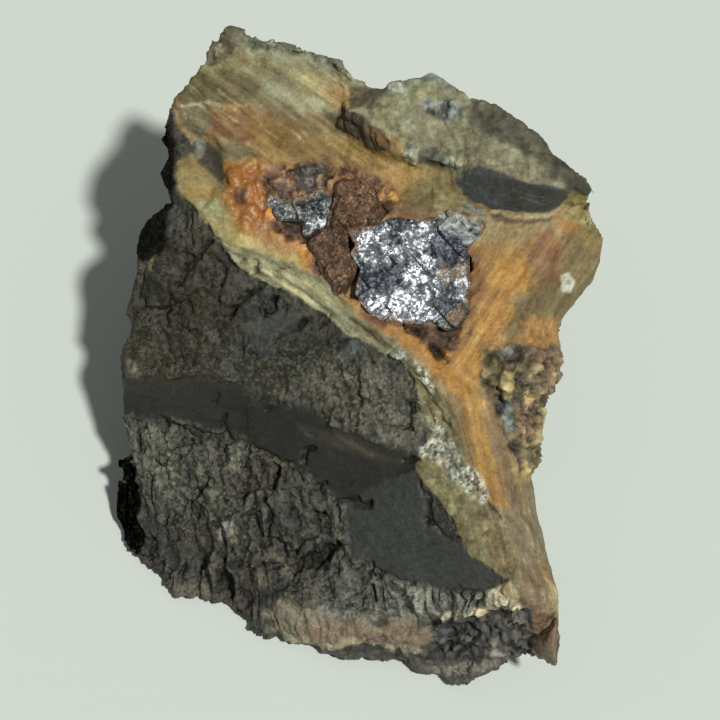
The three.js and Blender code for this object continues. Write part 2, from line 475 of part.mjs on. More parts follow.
// A cleaved mass of galena: cubes of one lattice broken off at different steps, within the outline of the mass.
function galena(outline, { turn, tip, roll, proud, seed }) {
  const middle = outline.reduce((sum, [across, up]) => sum.add(onVein(across, up, 0)), new THREE.Vector3());
  middle.divideScalar(outline.length);
  const reach = Math.max(...outline.map(([across, up]) => onVein(across, up, 0).distanceTo(middle)));
  const lattice = new THREE.Matrix4()
    .makeRotationX(VEIN_DIP)
    .multiply(new THREE.Matrix4().makeRotationFromEuler(new THREE.Euler(tip, roll, turn)))
    .setPosition(middle);
  const cells = Math.ceil(reach / GALENA_CUBE);
  const cubes = [];
  for (let i = -cells; i <= cells; i++)
    for (let j = -cells; j <= cells; j++) {
      // Neighbouring cubes share most of their steps, so that broad cleavage faces are left between the ledges.
      const swell = perlin.noise(i * 0.31 + seed, j * 0.31, seed * 0.7) * 2.2 + (scatter(i, j, seed, 8) - 0.5) * 1.7;
      const top = proud + Math.round(swell) * GALENA_STEP;
      const size = GALENA_CUBE + 0.02;
      const cube = new THREE.BoxGeometry(size, size, GALENA_DEPTH + 4 + top);
      cube.translate(i * GALENA_CUBE, j * GALENA_CUBE, (top - GALENA_DEPTH - 4) / 2);
      cubes.push(manifoldOf(cube.applyMatrix4(lattice)));
    }
  const block = cubes.reduce((sum, cube) => sum.add(cube));
  return block.intersect(prism(outline, GALENA_DEPTH, 8));
}

// The limonite crust: lumps over a flat seat in the vein face.
function brownCrust(outline) {
  const place = (across, up) => ({ at: onVein(across, up, 0), roughness: 1 });
  const vertices = outline.map(([across, up]) => place(across, up));
  const flat = outline.map(([across, up]) => new THREE.Vector2(across, up));
  const face = refine(vertices, sheet(flat, outline.length), CRUST_EDGE, CRUST_EDGE);
  const count = vertices.length;
  const rim = rimEdges(face);
  const onRim = new Set(rim.flat());
  const top = vertices.map(({ at }, i) => {
    const lump = ridges(at, CRUST_LUMP, 2) + 0.8 * noise(at, CRUST_LUMP / 2, 4) + 0.5;
    return at.clone().addScaledVector(veinNormal, onRim.has(i) ? 0.1 : 0.2 + CRUST_RELIEF * Math.max(0, lump));
  });
  const seat = vertices.map(({ at }) => at.clone().addScaledVector(veinNormal, -CRUST_DEPTH));
  const walls = rim.flatMap(([p, q]) => [[p, p + count, q], [q, p + count, q + count]]);
  const base = face.map(([a, b, c]) => [a + count, c + count, b + count]);
  return solidFrom([...top, ...seat], [...face, ...base, ...walls]);
}

// The edges of a sheet that have a triangle on one side only, in the order of that triangle.
function rimEdges(triangles) {
  const edges = new Map();
  for (const [a, b, c] of triangles)
    for (const [p, q] of [[a, b], [b, c], [c, a]]) {
      if (edges.has(`${q},${p}`)) edges.delete(`${q},${p}`);
      else edges.set(`${p},${q}`, [p, q]);
    }
  return [...edges.values()];
}

const stone = new THREE.Group();

function addPiece(name, solid, color, roughness, metalness) {
  const { vertProperties, triVerts } = solid.getMesh();
  const geometry = new THREE.BufferGeometry();
  geometry.setAttribute("position", new THREE.BufferAttribute(vertProperties, 3));
  geometry.setIndex(new THREE.BufferAttribute(triVerts, 1));
  geometry.computeVertexNormals();
  const piece = new THREE.Mesh(geometry, new THREE.MeshStandardMaterial({ color, roughness, metalness }));
  piece.name = name;
  stone.add(piece);
}

const ABOVE_THE_FACE = 12;
const table = manifoldOf(new THREE.BoxGeometry(300, 300, 40).translate(0, 0, -20));
const hollows = [
  prism(LARGE_GALENA, GALENA_DEPTH + SEAM, ABOVE_THE_FACE, SEAM),
  prism(SMALL_GALENA, GALENA_DEPTH + SEAM, ABOVE_THE_FACE, SEAM),
  prism(BROWN_CRUST, CRUST_DEPTH + SEAM, ABOVE_THE_FACE, SEAM),
  prism(CRACK, CRACK_DEPTH, ABOVE_THE_FACE),
];
const rock = hollows.reduce((left, hollow) => left.subtract(hollow), hostRock().subtract(table));

addPiece("host_rock", rock, 0x3a3a38, 0.9, 0);
const largeLie = { turn: 0.72, tip: 0.05, roll: -0.06, proud: 0.4, seed: 3 };
const smallLie = { turn: 0.35, tip: -0.05, roll: 0.08, proud: 0.3, seed: 11 };
addPiece("galena_large", galena(LARGE_GALENA, largeLie), 0xa9adb5, 0.25, 1);
addPiece("galena_small", galena(SMALL_GALENA, smallLie), 0x8f959e, 0.3, 1);
addPiece("limonite_crust", brownCrust(BROWN_CRUST), 0x5a3423, 0.95, 0);

export default stone;
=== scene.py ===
# A hand specimen of lead ore on a pale table: a wedge of dark slate whose top is a rust-stained vein face,
# with two masses of galena and a crust of brown limonite set in it. Lengths are in millimetres until a mesh
# is written.
import itertools
import math

import bpy
import numpy as np
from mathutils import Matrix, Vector


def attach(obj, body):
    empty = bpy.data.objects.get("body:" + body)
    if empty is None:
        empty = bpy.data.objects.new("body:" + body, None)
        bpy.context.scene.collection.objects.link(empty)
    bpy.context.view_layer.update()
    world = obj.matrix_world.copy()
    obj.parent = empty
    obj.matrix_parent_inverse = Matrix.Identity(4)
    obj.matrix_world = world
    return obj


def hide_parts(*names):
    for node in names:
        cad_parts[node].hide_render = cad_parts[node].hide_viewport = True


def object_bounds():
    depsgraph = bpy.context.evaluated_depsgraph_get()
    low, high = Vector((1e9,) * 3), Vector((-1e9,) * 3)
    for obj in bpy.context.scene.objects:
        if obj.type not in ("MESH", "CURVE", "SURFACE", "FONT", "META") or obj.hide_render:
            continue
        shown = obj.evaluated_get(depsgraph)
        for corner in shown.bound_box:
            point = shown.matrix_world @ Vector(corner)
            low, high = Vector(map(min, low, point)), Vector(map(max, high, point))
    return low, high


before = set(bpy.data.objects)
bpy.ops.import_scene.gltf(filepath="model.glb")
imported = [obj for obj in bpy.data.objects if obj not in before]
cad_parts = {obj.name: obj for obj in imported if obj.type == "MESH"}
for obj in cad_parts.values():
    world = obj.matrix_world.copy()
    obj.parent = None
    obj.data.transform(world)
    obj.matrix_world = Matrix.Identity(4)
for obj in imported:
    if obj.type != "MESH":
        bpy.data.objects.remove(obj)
cad_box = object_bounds()


# The camera looks down on the stone at sixty degrees from in front, about an arm's length away.
# It comes first, because the stains on the stone are drawn where they are seen from there.
EYE_ELEVATION = math.radians(60)
EYE_DISTANCE = 420
VIEW_MIDDLE = np.array((0.0, 0.0, 34.0))
VIEW_WIDTH = 120
PHOTO_SIZE = 720
MM = 0.001

towards_eye = np.array((0, -math.cos(EYE_ELEVATION), math.sin(EYE_ELEVATION)))
up_the_view = np.array((0, math.sin(EYE_ELEVATION), math.cos(EYE_ELEVATION)))
eye = VIEW_MIDDLE + EYE_DISTANCE * towards_eye


def make_camera():
    data = bpy.data.cameras.new("camera")
    data.lens = data.sensor_width * EYE_DISTANCE / VIEW_WIDTH
    data.clip_end = 10
    camera = bpy.data.objects.new("camera", data)
    bpy.context.scene.collection.objects.link(camera)
    camera.location = Vector(eye * MM)
    camera.rotation_euler = Vector(-towards_eye).to_track_quat("-Z", "Y").to_euler()
    bpy.context.scene.camera = camera


def seen_at(points):
    """Where the camera sees each point, in pixels of the photograph."""
    line = points - eye
    line = line * (EYE_DISTANCE / -(line @ towards_eye))[:, None]
    scale = PHOTO_SIZE / VIEW_WIDTH
    return np.stack([PHOTO_SIZE / 2 + line[:, 0] * scale, PHOTO_SIZE / 2 - (line @ up_the_view) * scale], 1)


make_camera()


# The host rock: one broken wedge of dark, fine-grained slate. Its top is the wall of a vein, coated with iron
# oxides, and its front is a hackly fracture with a few smooth cleavage planes. The mesh is a fine copy of the
# CAD stone.
ROCK_VOXEL = 0.34
VEIN_DIP = math.radians(19.3)
VEIN_MIDDLE = np.array((0, 4.6, 46))
vein_normal = np.array((0, -math.sin(VEIN_DIP), math.cos(VEIN_DIP)))
up_the_vein = np.array((0, math.cos(VEIN_DIP), math.sin(VEIN_DIP)))


def scatter(cells, salt):
    """A repeatable number from 0 to 1 for each whole-number cell."""
    n = cells[:, 0] * 73856093 ^ cells[:, 1] * 19349663 ^ cells[:, 2] * 83492791 ^ salt * 15485863
    n = (n ^ (n >> 13)) * 1274126177 & 0xFFFFFFFF
    n = (n ^ (n >> 15)) * 2246822519 & 0xFFFFFFFF
    return (n ^ (n >> 16)) / 0xFFFFFFFF


def scatter_vector(cells, salt):
    return np.stack([scatter(cells, salt + k) for k in range(3)], 1)


def noise(points, size, salt=0):
    """Smooth noise from about -1 to 1, whose lumps are of the given size."""
    place = points / size
    cell = np.floor(place).astype(np.int64)
    share = place - cell
    ease = share**3 * (share * (share * 6 - 15) + 10)
    total = np.zeros(len(points))
    for corner in itertools.product((0, 1), repeat=3):
        slope = scatter_vector(cell + corner, salt * 3) * 2 - 1
        weight = np.prod(np.where(corner, ease, 1 - ease), axis=1)
        total += weight * ((share - corner) * slope).sum(1)
    return total * 1.7


def layers(points, size, salt, count=3):
    """Noise with finer noise on it, each layer half as large and half as strong."""
    return sum(noise(points, size / 2**k, salt + k) / 2**k for k in range(count))


def streaks_along(points, way, size, salt):
    """Noise drawn out along one direction."""
    way = np.array(way) / np.linalg.norm(way)
    return layers(points - (points @ way)[:, None] * way * 0.88, size, salt)


def neighbours(points, size, salt):
    """For each point, the scattered centres round it: the way from each centre to the point, and its cell."""
    place = points / size
    cell = np.floor(place).astype(np.int64)
    for step in itertools.product((-1, 0, 1), repeat=3):
        at = cell + step
        yield place - at - scatter_vector(at, salt), at


def facets(points, size, salt, dome=0.5):
    """A broken surface of tilted planes that meet in grooves, about 1 high, and a number for each plane."""
    height = np.full(len(points), -np.inf)
    number = np.zeros(len(points))
    for way, at in neighbours(points, size, salt):
        own = scatter(at, salt + 9)
        plane = 0.6 * own + (way * (scatter_vector(at, salt + 5) * 2 - 1)).sum(1) - dome * (way**2).sum(1)
        higher = plane > height
        height[higher] = plane[higher]
        number[higher] = own[higher]
    return np.clip(height - height.mean(), -0.8, 0.8), number


def grains(points, size, salt):
    """Round grains: the height of each from 0 to 1."""
    nearest = np.full(len(points), np.inf)
    for way, _ in neighbours(points, size, salt):
        nearest = np.minimum(nearest, (way**2).sum(1))
    return np.sqrt(np.clip(1 - nearest / 0.6, 0, 1))


def smooth_step(low, high, value):
    share = np.clip((value - low) / (high - low), 0, 1)
    return share * share * (3 - 2 * share)


def distance_to(pixels, path):
    """How far each place is from a line through the points of a path."""
    x, y = pixels.T
    nearest = np.full(len(pixels), np.inf)
    for (ax, ay), (bx, by) in zip(path, path[1:]):
        dx, dy = bx - ax, by - ay
        share = np.clip(((x - ax) * dx + (y - ay) * dy) / (dx**2 + dy**2), 0, 1)
        nearest = np.minimum(nearest, np.hypot(x - ax - share * dx, y - ay - share * dy))
    return nearest


def depth_inside(pixels, outline):
    """How many pixels each place lies inside a closed outline, or minus how many outside."""
    closed = outline + outline[:1]
    x, y = pixels.T
    inside = np.zeros(len(pixels), bool)
    for (ax, ay), (bx, by) in zip(closed, closed[1:]):
        inside ^= ((ay > y) != (by > y)) & (x < (bx - ax) * (y - ay) / (by - ay + 1e-9) + ax)
    return np.where(inside, 1, -1) * distance_to(pixels, closed)


class Surface:
    """The points of a fine closed mesh over a CAD node, and what each has: a height over the solid, a colour
    in sRGB from 0 to 255 and a gloss. Areas are outlines in pixels of the photograph, with soft and ragged
    edges."""

    def __init__(self, node, voxel, colour, gloss):
        rough = bpy.data.objects.new("rough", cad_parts[node].data.copy())
        bpy.context.scene.collection.objects.link(rough)
        remesh = rough.modifiers.new("remesh", "REMESH")
        remesh.mode = "VOXEL"
        remesh.voxel_size = voxel * MM
        mesh = rough.evaluated_get(bpy.context.evaluated_depsgraph_get()).to_mesh()
        count = len(mesh.vertices)
        points = np.empty(count * 3)
        mesh.vertices.foreach_get("co", points)
        quads = np.empty(len(mesh.polygons) * 4, np.int32)
        mesh.polygons.foreach_get("vertices", quads)
        bpy.data.objects.remove(rough)
        self.node = node
        self.points = points.reshape(-1, 3) / MM
        self.quads = quads.reshape(-1, 4)
        self.normals = self.normals_of(self.points)
        self.pixels = seen_at(self.points)
        self.wander = np.stack([layers(self.points, 2.6, 31), layers(self.points, 2.6, 41)], 1)
        self.facing = smooth_step(-0.35, 0.0, self.normals @ towards_eye)
        self.height = np.zeros(count)
        self.colour = np.tile(np.array(colour, float), (count, 1))
        self.gloss = np.full(count, float(gloss))

    def normals_of(self, points):
        a, b, c, d = (points[self.quads[:, k]] for k in range(4))
        face = np.cross(c - a, d - b)
        total = np.zeros_like(points)
        for axis in range(3):
            for k in range(4):
                total[:, axis] += np.bincount(self.quads[:, k], face[:, axis], len(points))
        return total / np.maximum(np.linalg.norm(total, axis=1), 1e-9)[:, None]

    def cover(self, outline, soft=3.0, ragged=3.0):
        """From 0 to 1, how far an outline covers each point."""
        reach = soft + 2 * ragged
        low = np.min(outline, 0) - reach
        high = np.max(outline, 0) + reach
        near = ((self.pixels > low) & (self.pixels < high)).all(1)
        share = np.zeros(len(self.points))
        pixels = self.pixels[near] + self.wander[near] * ragged
        share[near] = smooth_step(-soft, soft, depth_inside(pixels, outline))
        return share

    def along(self, path, width, ragged=1.5):
        """From 0 to 1, how near each point is to a path that narrows to its ends."""
        low = np.min(path, 0) - 2 * width - 4
        high = np.max(path, 0) + 2 * width + 4
        near = ((self.pixels > low) & (self.pixels < high)).all(1)
        share = np.zeros(len(self.points))
        pixels = self.pixels[near] + self.wander[near] * ragged
        from_end = np.minimum(*(np.hypot(*(pixels - end).T) for end in (path[0], path[-1])))
        own_width = width * np.clip(0.3 + from_end / (5 * width), 0, 1)
        share[near] = 1 - smooth_step(0.2, 1, distance_to(pixels, path) / own_width)
        return share

    def tint(self, share, colour, gloss=None):
        self.colour += (np.array(colour, float) - self.colour) * share[:, None]
        if gloss is not None:
            self.gloss += (gloss - self.gloss) * share

    def paint(self, outline, colour, strength=1.0, gloss=None, soft=3.0, ragged=3.0, only=1.0):
        self.tint(self.cover(outline, soft, ragged) * strength * only, colour, gloss)

    def stain(self, stains, only=1.0, gloss=None):
        """Paints a table of stains in its order. A stain may end with a gloss of its own."""
        for outline, colour, strength, soft, ragged, *own_gloss in stains.values():
            self.paint(outline, colour, strength, own_gloss[0] if own_gloss else gloss, soft, ragged, only)

    def vary(self, tone, reach):
        """Lightens and darkens the three colours by a tone about 0, each by its own reach."""
        self.colour *= np.clip(1 + tone[:, None] * np.array(reach), 0.2, 2)


# Colours of the rock and its coating.
SLATE = (52, 51, 43)
SMOOTH_SLATE = (52, 53, 49)
PALE_SLATE = (92, 91, 77)
DARK_SLATE = (36, 35, 30)
RISER_SLATE = (30, 29, 21)
BLACK = (20, 19, 17)
EDGE_SHADE_BLACK = (8, 8, 7)
WALL_SHADE_BLACK = (17, 16, 13)
KHAKI = (140, 132, 96)
RIND = (146, 144, 112)
CREAM = (196, 184, 140)
OLIVE = (118, 108, 72)
TAN = (148, 124, 84)
ORANGE = (172, 124, 58)
DEEP_ORANGE = (158, 96, 42)
RUST = (118, 80, 48)
BROWN = (92, 76, 54)
QUARTZ = (206, 206, 196)
GLINTING_QUARTZ = (196, 200, 190)
DULL_QUARTZ = (116, 119, 108)
PALE_RIM = (166, 166, 150)
DARK_RIM = (84, 84, 72)
STEP_EDGE_HIGHLIGHT = (196, 190, 156)
WET_GREY = (66, 70, 72)
SCRATCH_GREY = (118, 120, 114)
FAINT_GREY = (110, 112, 106)
FACE_GREY = (104, 108, 106)
HOLLOW_SHADE_BLACK = (24, 26, 27)
PROW_RUST = (132, 104, 84)
KNOB_HIGHLIGHT_ORANGE = (196, 140, 84)
COATING_SHADE = (0.06, 0.06, 0.10)

# Areas in pixels of the photograph.
VEIN_FACE = [
    (208, 20), (620, 20), (650, 240), (620, 340), (580, 660), (570, 700), (540, 690), (540, 655),
    (518, 605), (500, 592), (512, 580), (470, 555), (455, 525), (440, 500), (415, 465), (437, 430),
    (402, 360), (378, 348), (350, 334), (320, 313), (290, 293), (250, 276), (228, 259), (222, 243),
    (200, 214), (182, 197), (176, 185), (178, 165), (186, 158), (196, 150), (188, 138), (178, 127),
    (174, 108), (150, 80), (180, 30),
]
FOOT = [
    (112, 412), (180, 420), (222, 430), (262, 456), (300, 470), (345, 505), (352, 560), (400, 578),
    (480, 592), (470, 615), (400, 640), (300, 640), (220, 620), (160, 600), (100, 540), (100, 470),
]
FOOT_LUMP = [(226, 442), (240, 438), (252, 446), (250, 460), (236, 464), (226, 456)]
RISER = [
    (120, 380), (200, 374), (240, 386), (256, 400), (300, 410), (360, 436), (418, 458), (415, 470),
    (345, 503), (300, 466), (262, 452), (222, 430), (180, 420), (116, 415),
]
LOWER_PLANE = [
    (345, 503), (380, 482), (418, 470), (424, 500), (430, 526), (456, 540), (480, 560), (500, 580),
    (490, 592), (440, 590), (400, 580), (350, 556),
]
GREEN_FACET = [(246, 322), (280, 314), (306, 312), (288, 336), (268, 358), (252, 350)]
UPPER_VEIN = [(150, 20), (400, 20), (360, 120), (400, 180), (280, 176), (230, 150), (180, 140)]
UPPER_STEP = [(176, 70), (250, 60), (262, 104), (236, 110), (222, 105), (200, 104), (176, 107)]
UPPER_STEP_EDGE = [(180, 106), (200, 103), (222, 105), (238, 110)]
RIM = [(186, 62), (206, 36), (234, 24), (300, 30), (352, 62), (336, 70), (300, 54), (240, 48), (212, 64)]
NOTCH = [
    (196, 137), (206, 142), (216, 149), (225, 160), (229, 173), (226, 186), (215, 178), (202, 166),
    (191, 152),
]
KNOBBY = [(226, 165), (246, 158), (270, 168), (272, 206), (262, 232), (246, 234), (236, 218), (226, 196)]
GRANULAR = [
    (262, 176), (300, 164), (352, 168), (392, 186), (400, 206), (372, 224), (350, 238), (352, 262),
    (342, 296), (322, 280), (306, 250), (284, 240), (268, 224),
]
PITS = [(398, 318), (430, 326), (462, 322), (468, 330), (456, 348), (442, 362), (426, 352), (410, 336)]
NODULES = [
    (482, 352), (500, 346), (530, 344), (560, 350), (566, 380), (556, 402), (550, 440), (545, 478),
    (520, 470), (505, 440), (494, 405), (482, 380),
]
RIDGE_RIND = [
    (223, 240), (236, 246), (260, 252), (282, 259), (300, 266), (322, 278), (336, 293), (356, 312),
    (372, 325), (395, 340), (408, 356), (424, 380), (442, 400), (458, 430), (440, 440), (426, 415),
    (402, 362), (380, 348), (350, 334), (320, 313), (290, 293), (250, 276), (230, 260), (222, 246),
]
OLIVE_FACET = [
    (402, 362), (420, 400), (437, 430), (420, 452), (415, 465), (440, 500), (455, 525), (470, 555),
    (512, 580), (524, 598), (520, 560), (503, 517), (484, 498), (470, 478), (462, 440), (448, 405),
    (430, 378), (408, 352),
]
RIGHT_VEIN = [(462, 214), (620, 190), (620, 320), (540, 360), (440, 370)]
LOWER_VEIN = [(440, 380), (500, 380), (570, 660), (530, 660)]
SLAB_TOP = [
    (345, 112), (372, 100), (385, 90), (392, 76), (432, 60), (460, 80), (510, 100), (560, 140), (610, 185),
    (605, 200), (570, 192), (540, 186), (508, 175), (478, 165), (468, 176), (440, 166), (402, 156),
    (390, 150), (386, 136), (372, 122), (356, 114),
]
SLAB_STEP = [(340, 108), (354, 113), (370, 121), (384, 134), (388, 152), (376, 150), (358, 142), (342, 132)]
SLAB_FOOT = [(404, 142), (424, 144), (448, 154), (470, 172), (466, 180), (436, 168), (404, 162)]
GREY_PATCH = [(422, 103), (440, 99), (458, 102), (460, 114), (448, 122), (428, 112)]
SLAB_FACE = [
    (469, 174), (478, 164), (508, 175), (526, 182), (550, 184), (570, 192), (562, 203), (550, 212),
    (526, 213), (490, 209), (470, 198), (456, 183),
]
CORNER_MASS = [(398, 198), (424, 186), (434, 178), (452, 178), (464, 192), (470, 206), (440, 208), (410, 214)]
PROW = [
    (428, 626), (446, 616), (486, 606), (514, 604), (529, 610), (536, 640), (530, 660), (500, 657),
    (440, 662),
]
# The left flank, turned from the light, where black is painted as its shade.
SHADED_WALL = [(144, 120), (166, 116), (176, 140), (174, 200), (166, 250), (150, 262), (140, 260)]
SHADED_EDGE = [
    (104, 452), (118, 446), (130, 452), (128, 462), (138, 470), (136, 484), (142, 500), (138, 520),
    (144, 532), (136, 556), (120, 548), (104, 520),
]
PALE_SEAM = [
    (262, 608), (288, 600), (320, 608), (345, 618), (372, 616), (400, 622), (440, 622), (446, 640),
    (420, 652), (375, 634), (352, 642), (330, 648), (300, 640), (280, 634),
]

# Ways of the flutes on the broken slate and on the stepped edge of the slab.
SLATE_FLUTES = (0.2, -0.55, -0.8)
SLAB_FLUTES = (0.25, -0.5, -0.83)

# Ways of the striae on the vein face.
DOWN_RIGHT = (0.80, -0.57, -0.20)
DOWN_LEFT = (-0.55, -0.79, -0.28)
DOWN = (0.22, -0.92, -0.32)

# Way of the faint streaks on the smooth planes of the slate.
PLANE_STREAKS = (0.92, -0.32, -0.22)

# Open cracks: a path, half its width in pixels, and its depth in millimetres. Each is also painted black
# along its middle as the shade inside it.
CRACKS = [
    ([(179, 276), (192, 262), (204, 248), (211, 243)], 2.6, 0.9),
    ([(178, 284), (188, 272), (197, 265)], 2.0, 0.6),
    ([(231, 317), (238, 303), (252, 293), (263, 286)], 3.4, 1.0),
    ([(276, 310), (272, 302), (278, 289)], 1.8, 0.6),
    ([(276, 342), (288, 332), (299, 326), (310, 317)], 2.2, 0.7),
    ([(324, 326), (329, 316)], 1.8, 0.6),
    ([(166, 322), (167, 308), (171, 296)], 2.0, 0.6),
    ([(218, 262), (224, 276), (222, 290)], 1.8, 0.5),
    ([(332, 356), (338, 344), (352, 338)], 1.6, 0.4),
    ([(388, 366), (396, 374), (398, 384)], 1.6, 0.4),
    ([(214, 404), (220, 394)], 2.0, 0.5),
    ([(263, 408), (276, 411)], 1.6, 0.4),
    ([(302, 432), (318, 436)], 1.6, 0.4),
    ([(305, 464), (307, 452), (314, 450)], 3.2, 0.9),
    ([(318, 487), (326, 481)], 2.4, 0.8),
    ([(226, 416), (224, 428), (228, 438), (221, 452)], 2.6, 0.9),
    ([(245, 456), (243, 474), (240, 496)], 2.2, 0.8),
    ([(206, 478), (200, 488), (191, 500)], 4.0, 1.4),
    ([(190, 500), (180, 512)], 2.2, 0.7),
    ([(197, 502), (197, 522)], 1.8, 0.6),
    ([(264, 492), (269, 506), (270, 518), (272, 530)], 2.8, 1.0),
    ([(337, 500), (352, 501), (368, 505)], 3.4, 1.2),
    ([(326, 512), (315, 514), (319, 532)], 4.0, 1.4),
    ([(316, 538), (302, 543), (293, 556)], 3.4, 1.3),
    ([(338, 545), (322, 556), (302, 564), (291, 576)], 5.0, 1.6),
    ([(250, 566), (264, 570), (280, 567)], 3.0, 0.9),
    ([(221, 560), (224, 588), (228, 614)], 4.4, 1.4),
    ([(370, 562), (374, 576)], 2.6, 0.9),
    ([(368, 586), (374, 602)], 2.4, 0.8),
    ([(145, 536), (152, 548)], 3.0, 0.9),
    ([(164, 516), (161, 528)], 2.4, 0.8),
    ([(422, 482), (426, 504), (428, 520)], 4.0, 0.6),
    ([(428, 522), (446, 536), (458, 538)], 3.6, 0.5),
    ([(418, 459), (404, 462)], 2.4, 0.8),
    ([(244, 258), (246, 266)], 1.8, 0.5),
    ([(254, 259), (256, 270), (253, 277)], 2.2, 0.7),
    ([(276, 272), (286, 269)], 2.2, 0.5),
    ([(340, 226), (350, 236), (347, 252), (357, 268)], 3.2, 1.4),
    ([(466, 258), (470, 266), (466, 280)], 2.4, 0.8),
    ([(400, 321), (410, 330), (418, 335)], 3.0, 1.2),
    ([(432, 346), (440, 358), (446, 364)], 3.0, 1.1),
    ([(484, 498), (492, 509), (504, 518)], 1.8, 0.5),
    ([(540, 370), (545, 380)], 2.6, 0.9),
    ([(494, 352), (500, 366), (496, 384)], 2.4, 0.6),
    ([(322, 182), (328, 176)], 3.4, 1.2),
    ([(336, 186), (346, 192)], 3.2, 1.0),
    ([(366, 188), (370, 204)], 2.6, 0.8),
]

# Glossy rounded knobs of iron oxide: middle and radius in pixels, and height in millimetres.
KNOBS = [
    ((236, 178), 9, 1.3), ((248, 194), 7, 1.0), ((240, 190), 6, 0.8), ((253, 212), 8, 1.2),
    ((262, 200), 6, 0.8), ((258, 184), 6, 0.8), ((266, 216), 6, 0.8), ((246, 226), 6, 0.6),
    ((230, 206), 6, 0.6), ((272, 234), 6, 0.5),
]


def shape_slate(rock, vein):
    """The fracture of the slate, from hackly at the foot to smooth on the cleavage planes."""
    points = rock.points
    smooth = np.maximum(rock.cover(RISER, 4), rock.cover(LOWER_PLANE, 2.5, 1))
    smooth = np.maximum(smooth, 0.8 * rock.cover(GREEN_FACET, 2, 1))
    foot = rock.cover(FOOT, 8) * (1 - smooth)
    hackle = np.clip(0.8 + 0.2 * foot - 0.74 * smooth, 0, 1) * (1 - vein)
    bent = points + 0.7 * np.stack([layers(points, 5, 51 + k, 2) for k in range(3)], 1)
    flutes = bent.copy()
    flutes[:, 1:] *= (1 - 0.45 * foot)[:, None]
    large, _ = facets(bent * (1, 1, 1.2), 8.5, 100, 0.4)
    large *= -1
    middle, number = facets(flutes, 4.6, 120, 0.3)
    middle *= -1
    fibres = 0.35 - np.abs(streaks_along(bent, SLATE_FLUTES, 1.5, 141))
    flutings = 0.6 - 2 * np.abs(streaks_along(bent, SLATE_FLUTES, 3.0, 151))
    hackle *= 1 - 0.6 * rock.cover(PALE_SEAM, 4)
    rock.height += hackle * (1.9 * large + 1.5 * middle + 0.7 * fibres + 0.12 * layers(points, 1.1, 61, 2))
    rock.height += foot * 0.6 * flutings
    rock.height += smooth * (1 - vein) * (0.12 * layers(points * (0.4, 1, 1), 1.6, 65, 2) + 0.16 * middle)
    rock.height += 0.7 * rock.cover(FOOT_LUMP, 3) * hackle
    # The relief, kept for painting light on its crests and shade in its hollows.
    crest_light_and_hollow_shade = 0.45 * middle + 0.8 * fibres + 0.3 * foot * flutings
    return hackle, smooth, number, crest_light_and_hollow_shade


def shape_vein(rock, vein):
    """The coating on the vein face: striae, knobs, grains and pits, and the lumpy grain of the slab."""
    points = rock.points
    lumps = layers(points, 4.5, 221)
    fine = layers(points, 1.4, 225)
    pieces, _ = facets(points, 2.4, 240)
    crumbs, _ = facets(points, 1.1, 250)
    balls = grains(points, 1.3, 260)
    granular = np.maximum(rock.cover(GRANULAR, 5), rock.cover(PITS, 4))
    height = 0.16 * lumps + 0.06 * fine + 0.05 * crumbs + 0.08 * pieces
    height += rock.cover(UPPER_VEIN, 8) * 0.34 * streaks_along(points, DOWN_RIGHT, 1.3, 211)
    height += rock.cover(RIGHT_VEIN, 8) * 0.2 * streaks_along(points, DOWN_LEFT, 1.4, 213)
    height += rock.cover(LOWER_VEIN, 8) * 0.22 * streaks_along(points, DOWN, 1.3, 219)
    height += rock.cover(RIM, 3) * (1.5 * pieces + 0.5 * crumbs)
    height += granular * (0.7 * pieces + 0.6 * crumbs + 0.35 * balls - 0.3)
    height += rock.cover(KNOBBY, 4) * (0.4 * balls + 0.35 * pieces)
    height += rock.cover(NODULES, 5) * (1.0 * pieces + 1.1 * crumbs + 0.7 * fine)
    height += rock.cover(SLAB_TOP, 3) * (0.3 * pieces + 0.4 * crumbs)
    height += rock.cover(RIDGE_RIND, 2.5) * 0.45 * streaks_along(points, DOWN_RIGHT, 1.0, 215)
    height += rock.cover(SLAB_STEP, 2) * 0.9 * streaks_along(points, SLAB_FLUTES, 1.2, 217)
    height += rock.cover(SLAB_FOOT, 3) * (0.9 * pieces + 0.4 * crumbs)
    height += rock.cover(GREY_PATCH, 3) * (0.9 * crumbs + 0.4 * pieces + 0.2)
    height += rock.cover(CORNER_MASS, 3) * (0.6 * pieces + 0.3)
    height += rock.cover(PROW, 3) * (0.6 * pieces + 0.8 * crumbs - 0.9 * balls)
    height *= 1 - 0.85 * rock.cover(SLAB_FACE, 1.5, 1)
    height += 0.35 * rock.cover(UPPER_STEP, 1.2, 1)
    knobs = np.zeros(len(points))
    for middle, radius, tall in KNOBS:
        far = np.hypot(*((rock.pixels + 1.5 * rock.wander - middle) * (1.2, 0.85)).T) / radius
        knobs = np.maximum(knobs, tall * np.sqrt(np.clip(1 - far**2, 0, 1)))
    rock.height += np.maximum(vein, rock.cover(PROW, 3) * rock.facing) * (height + 0.65 * knobs)
    return pieces, crumbs, granular, knobs


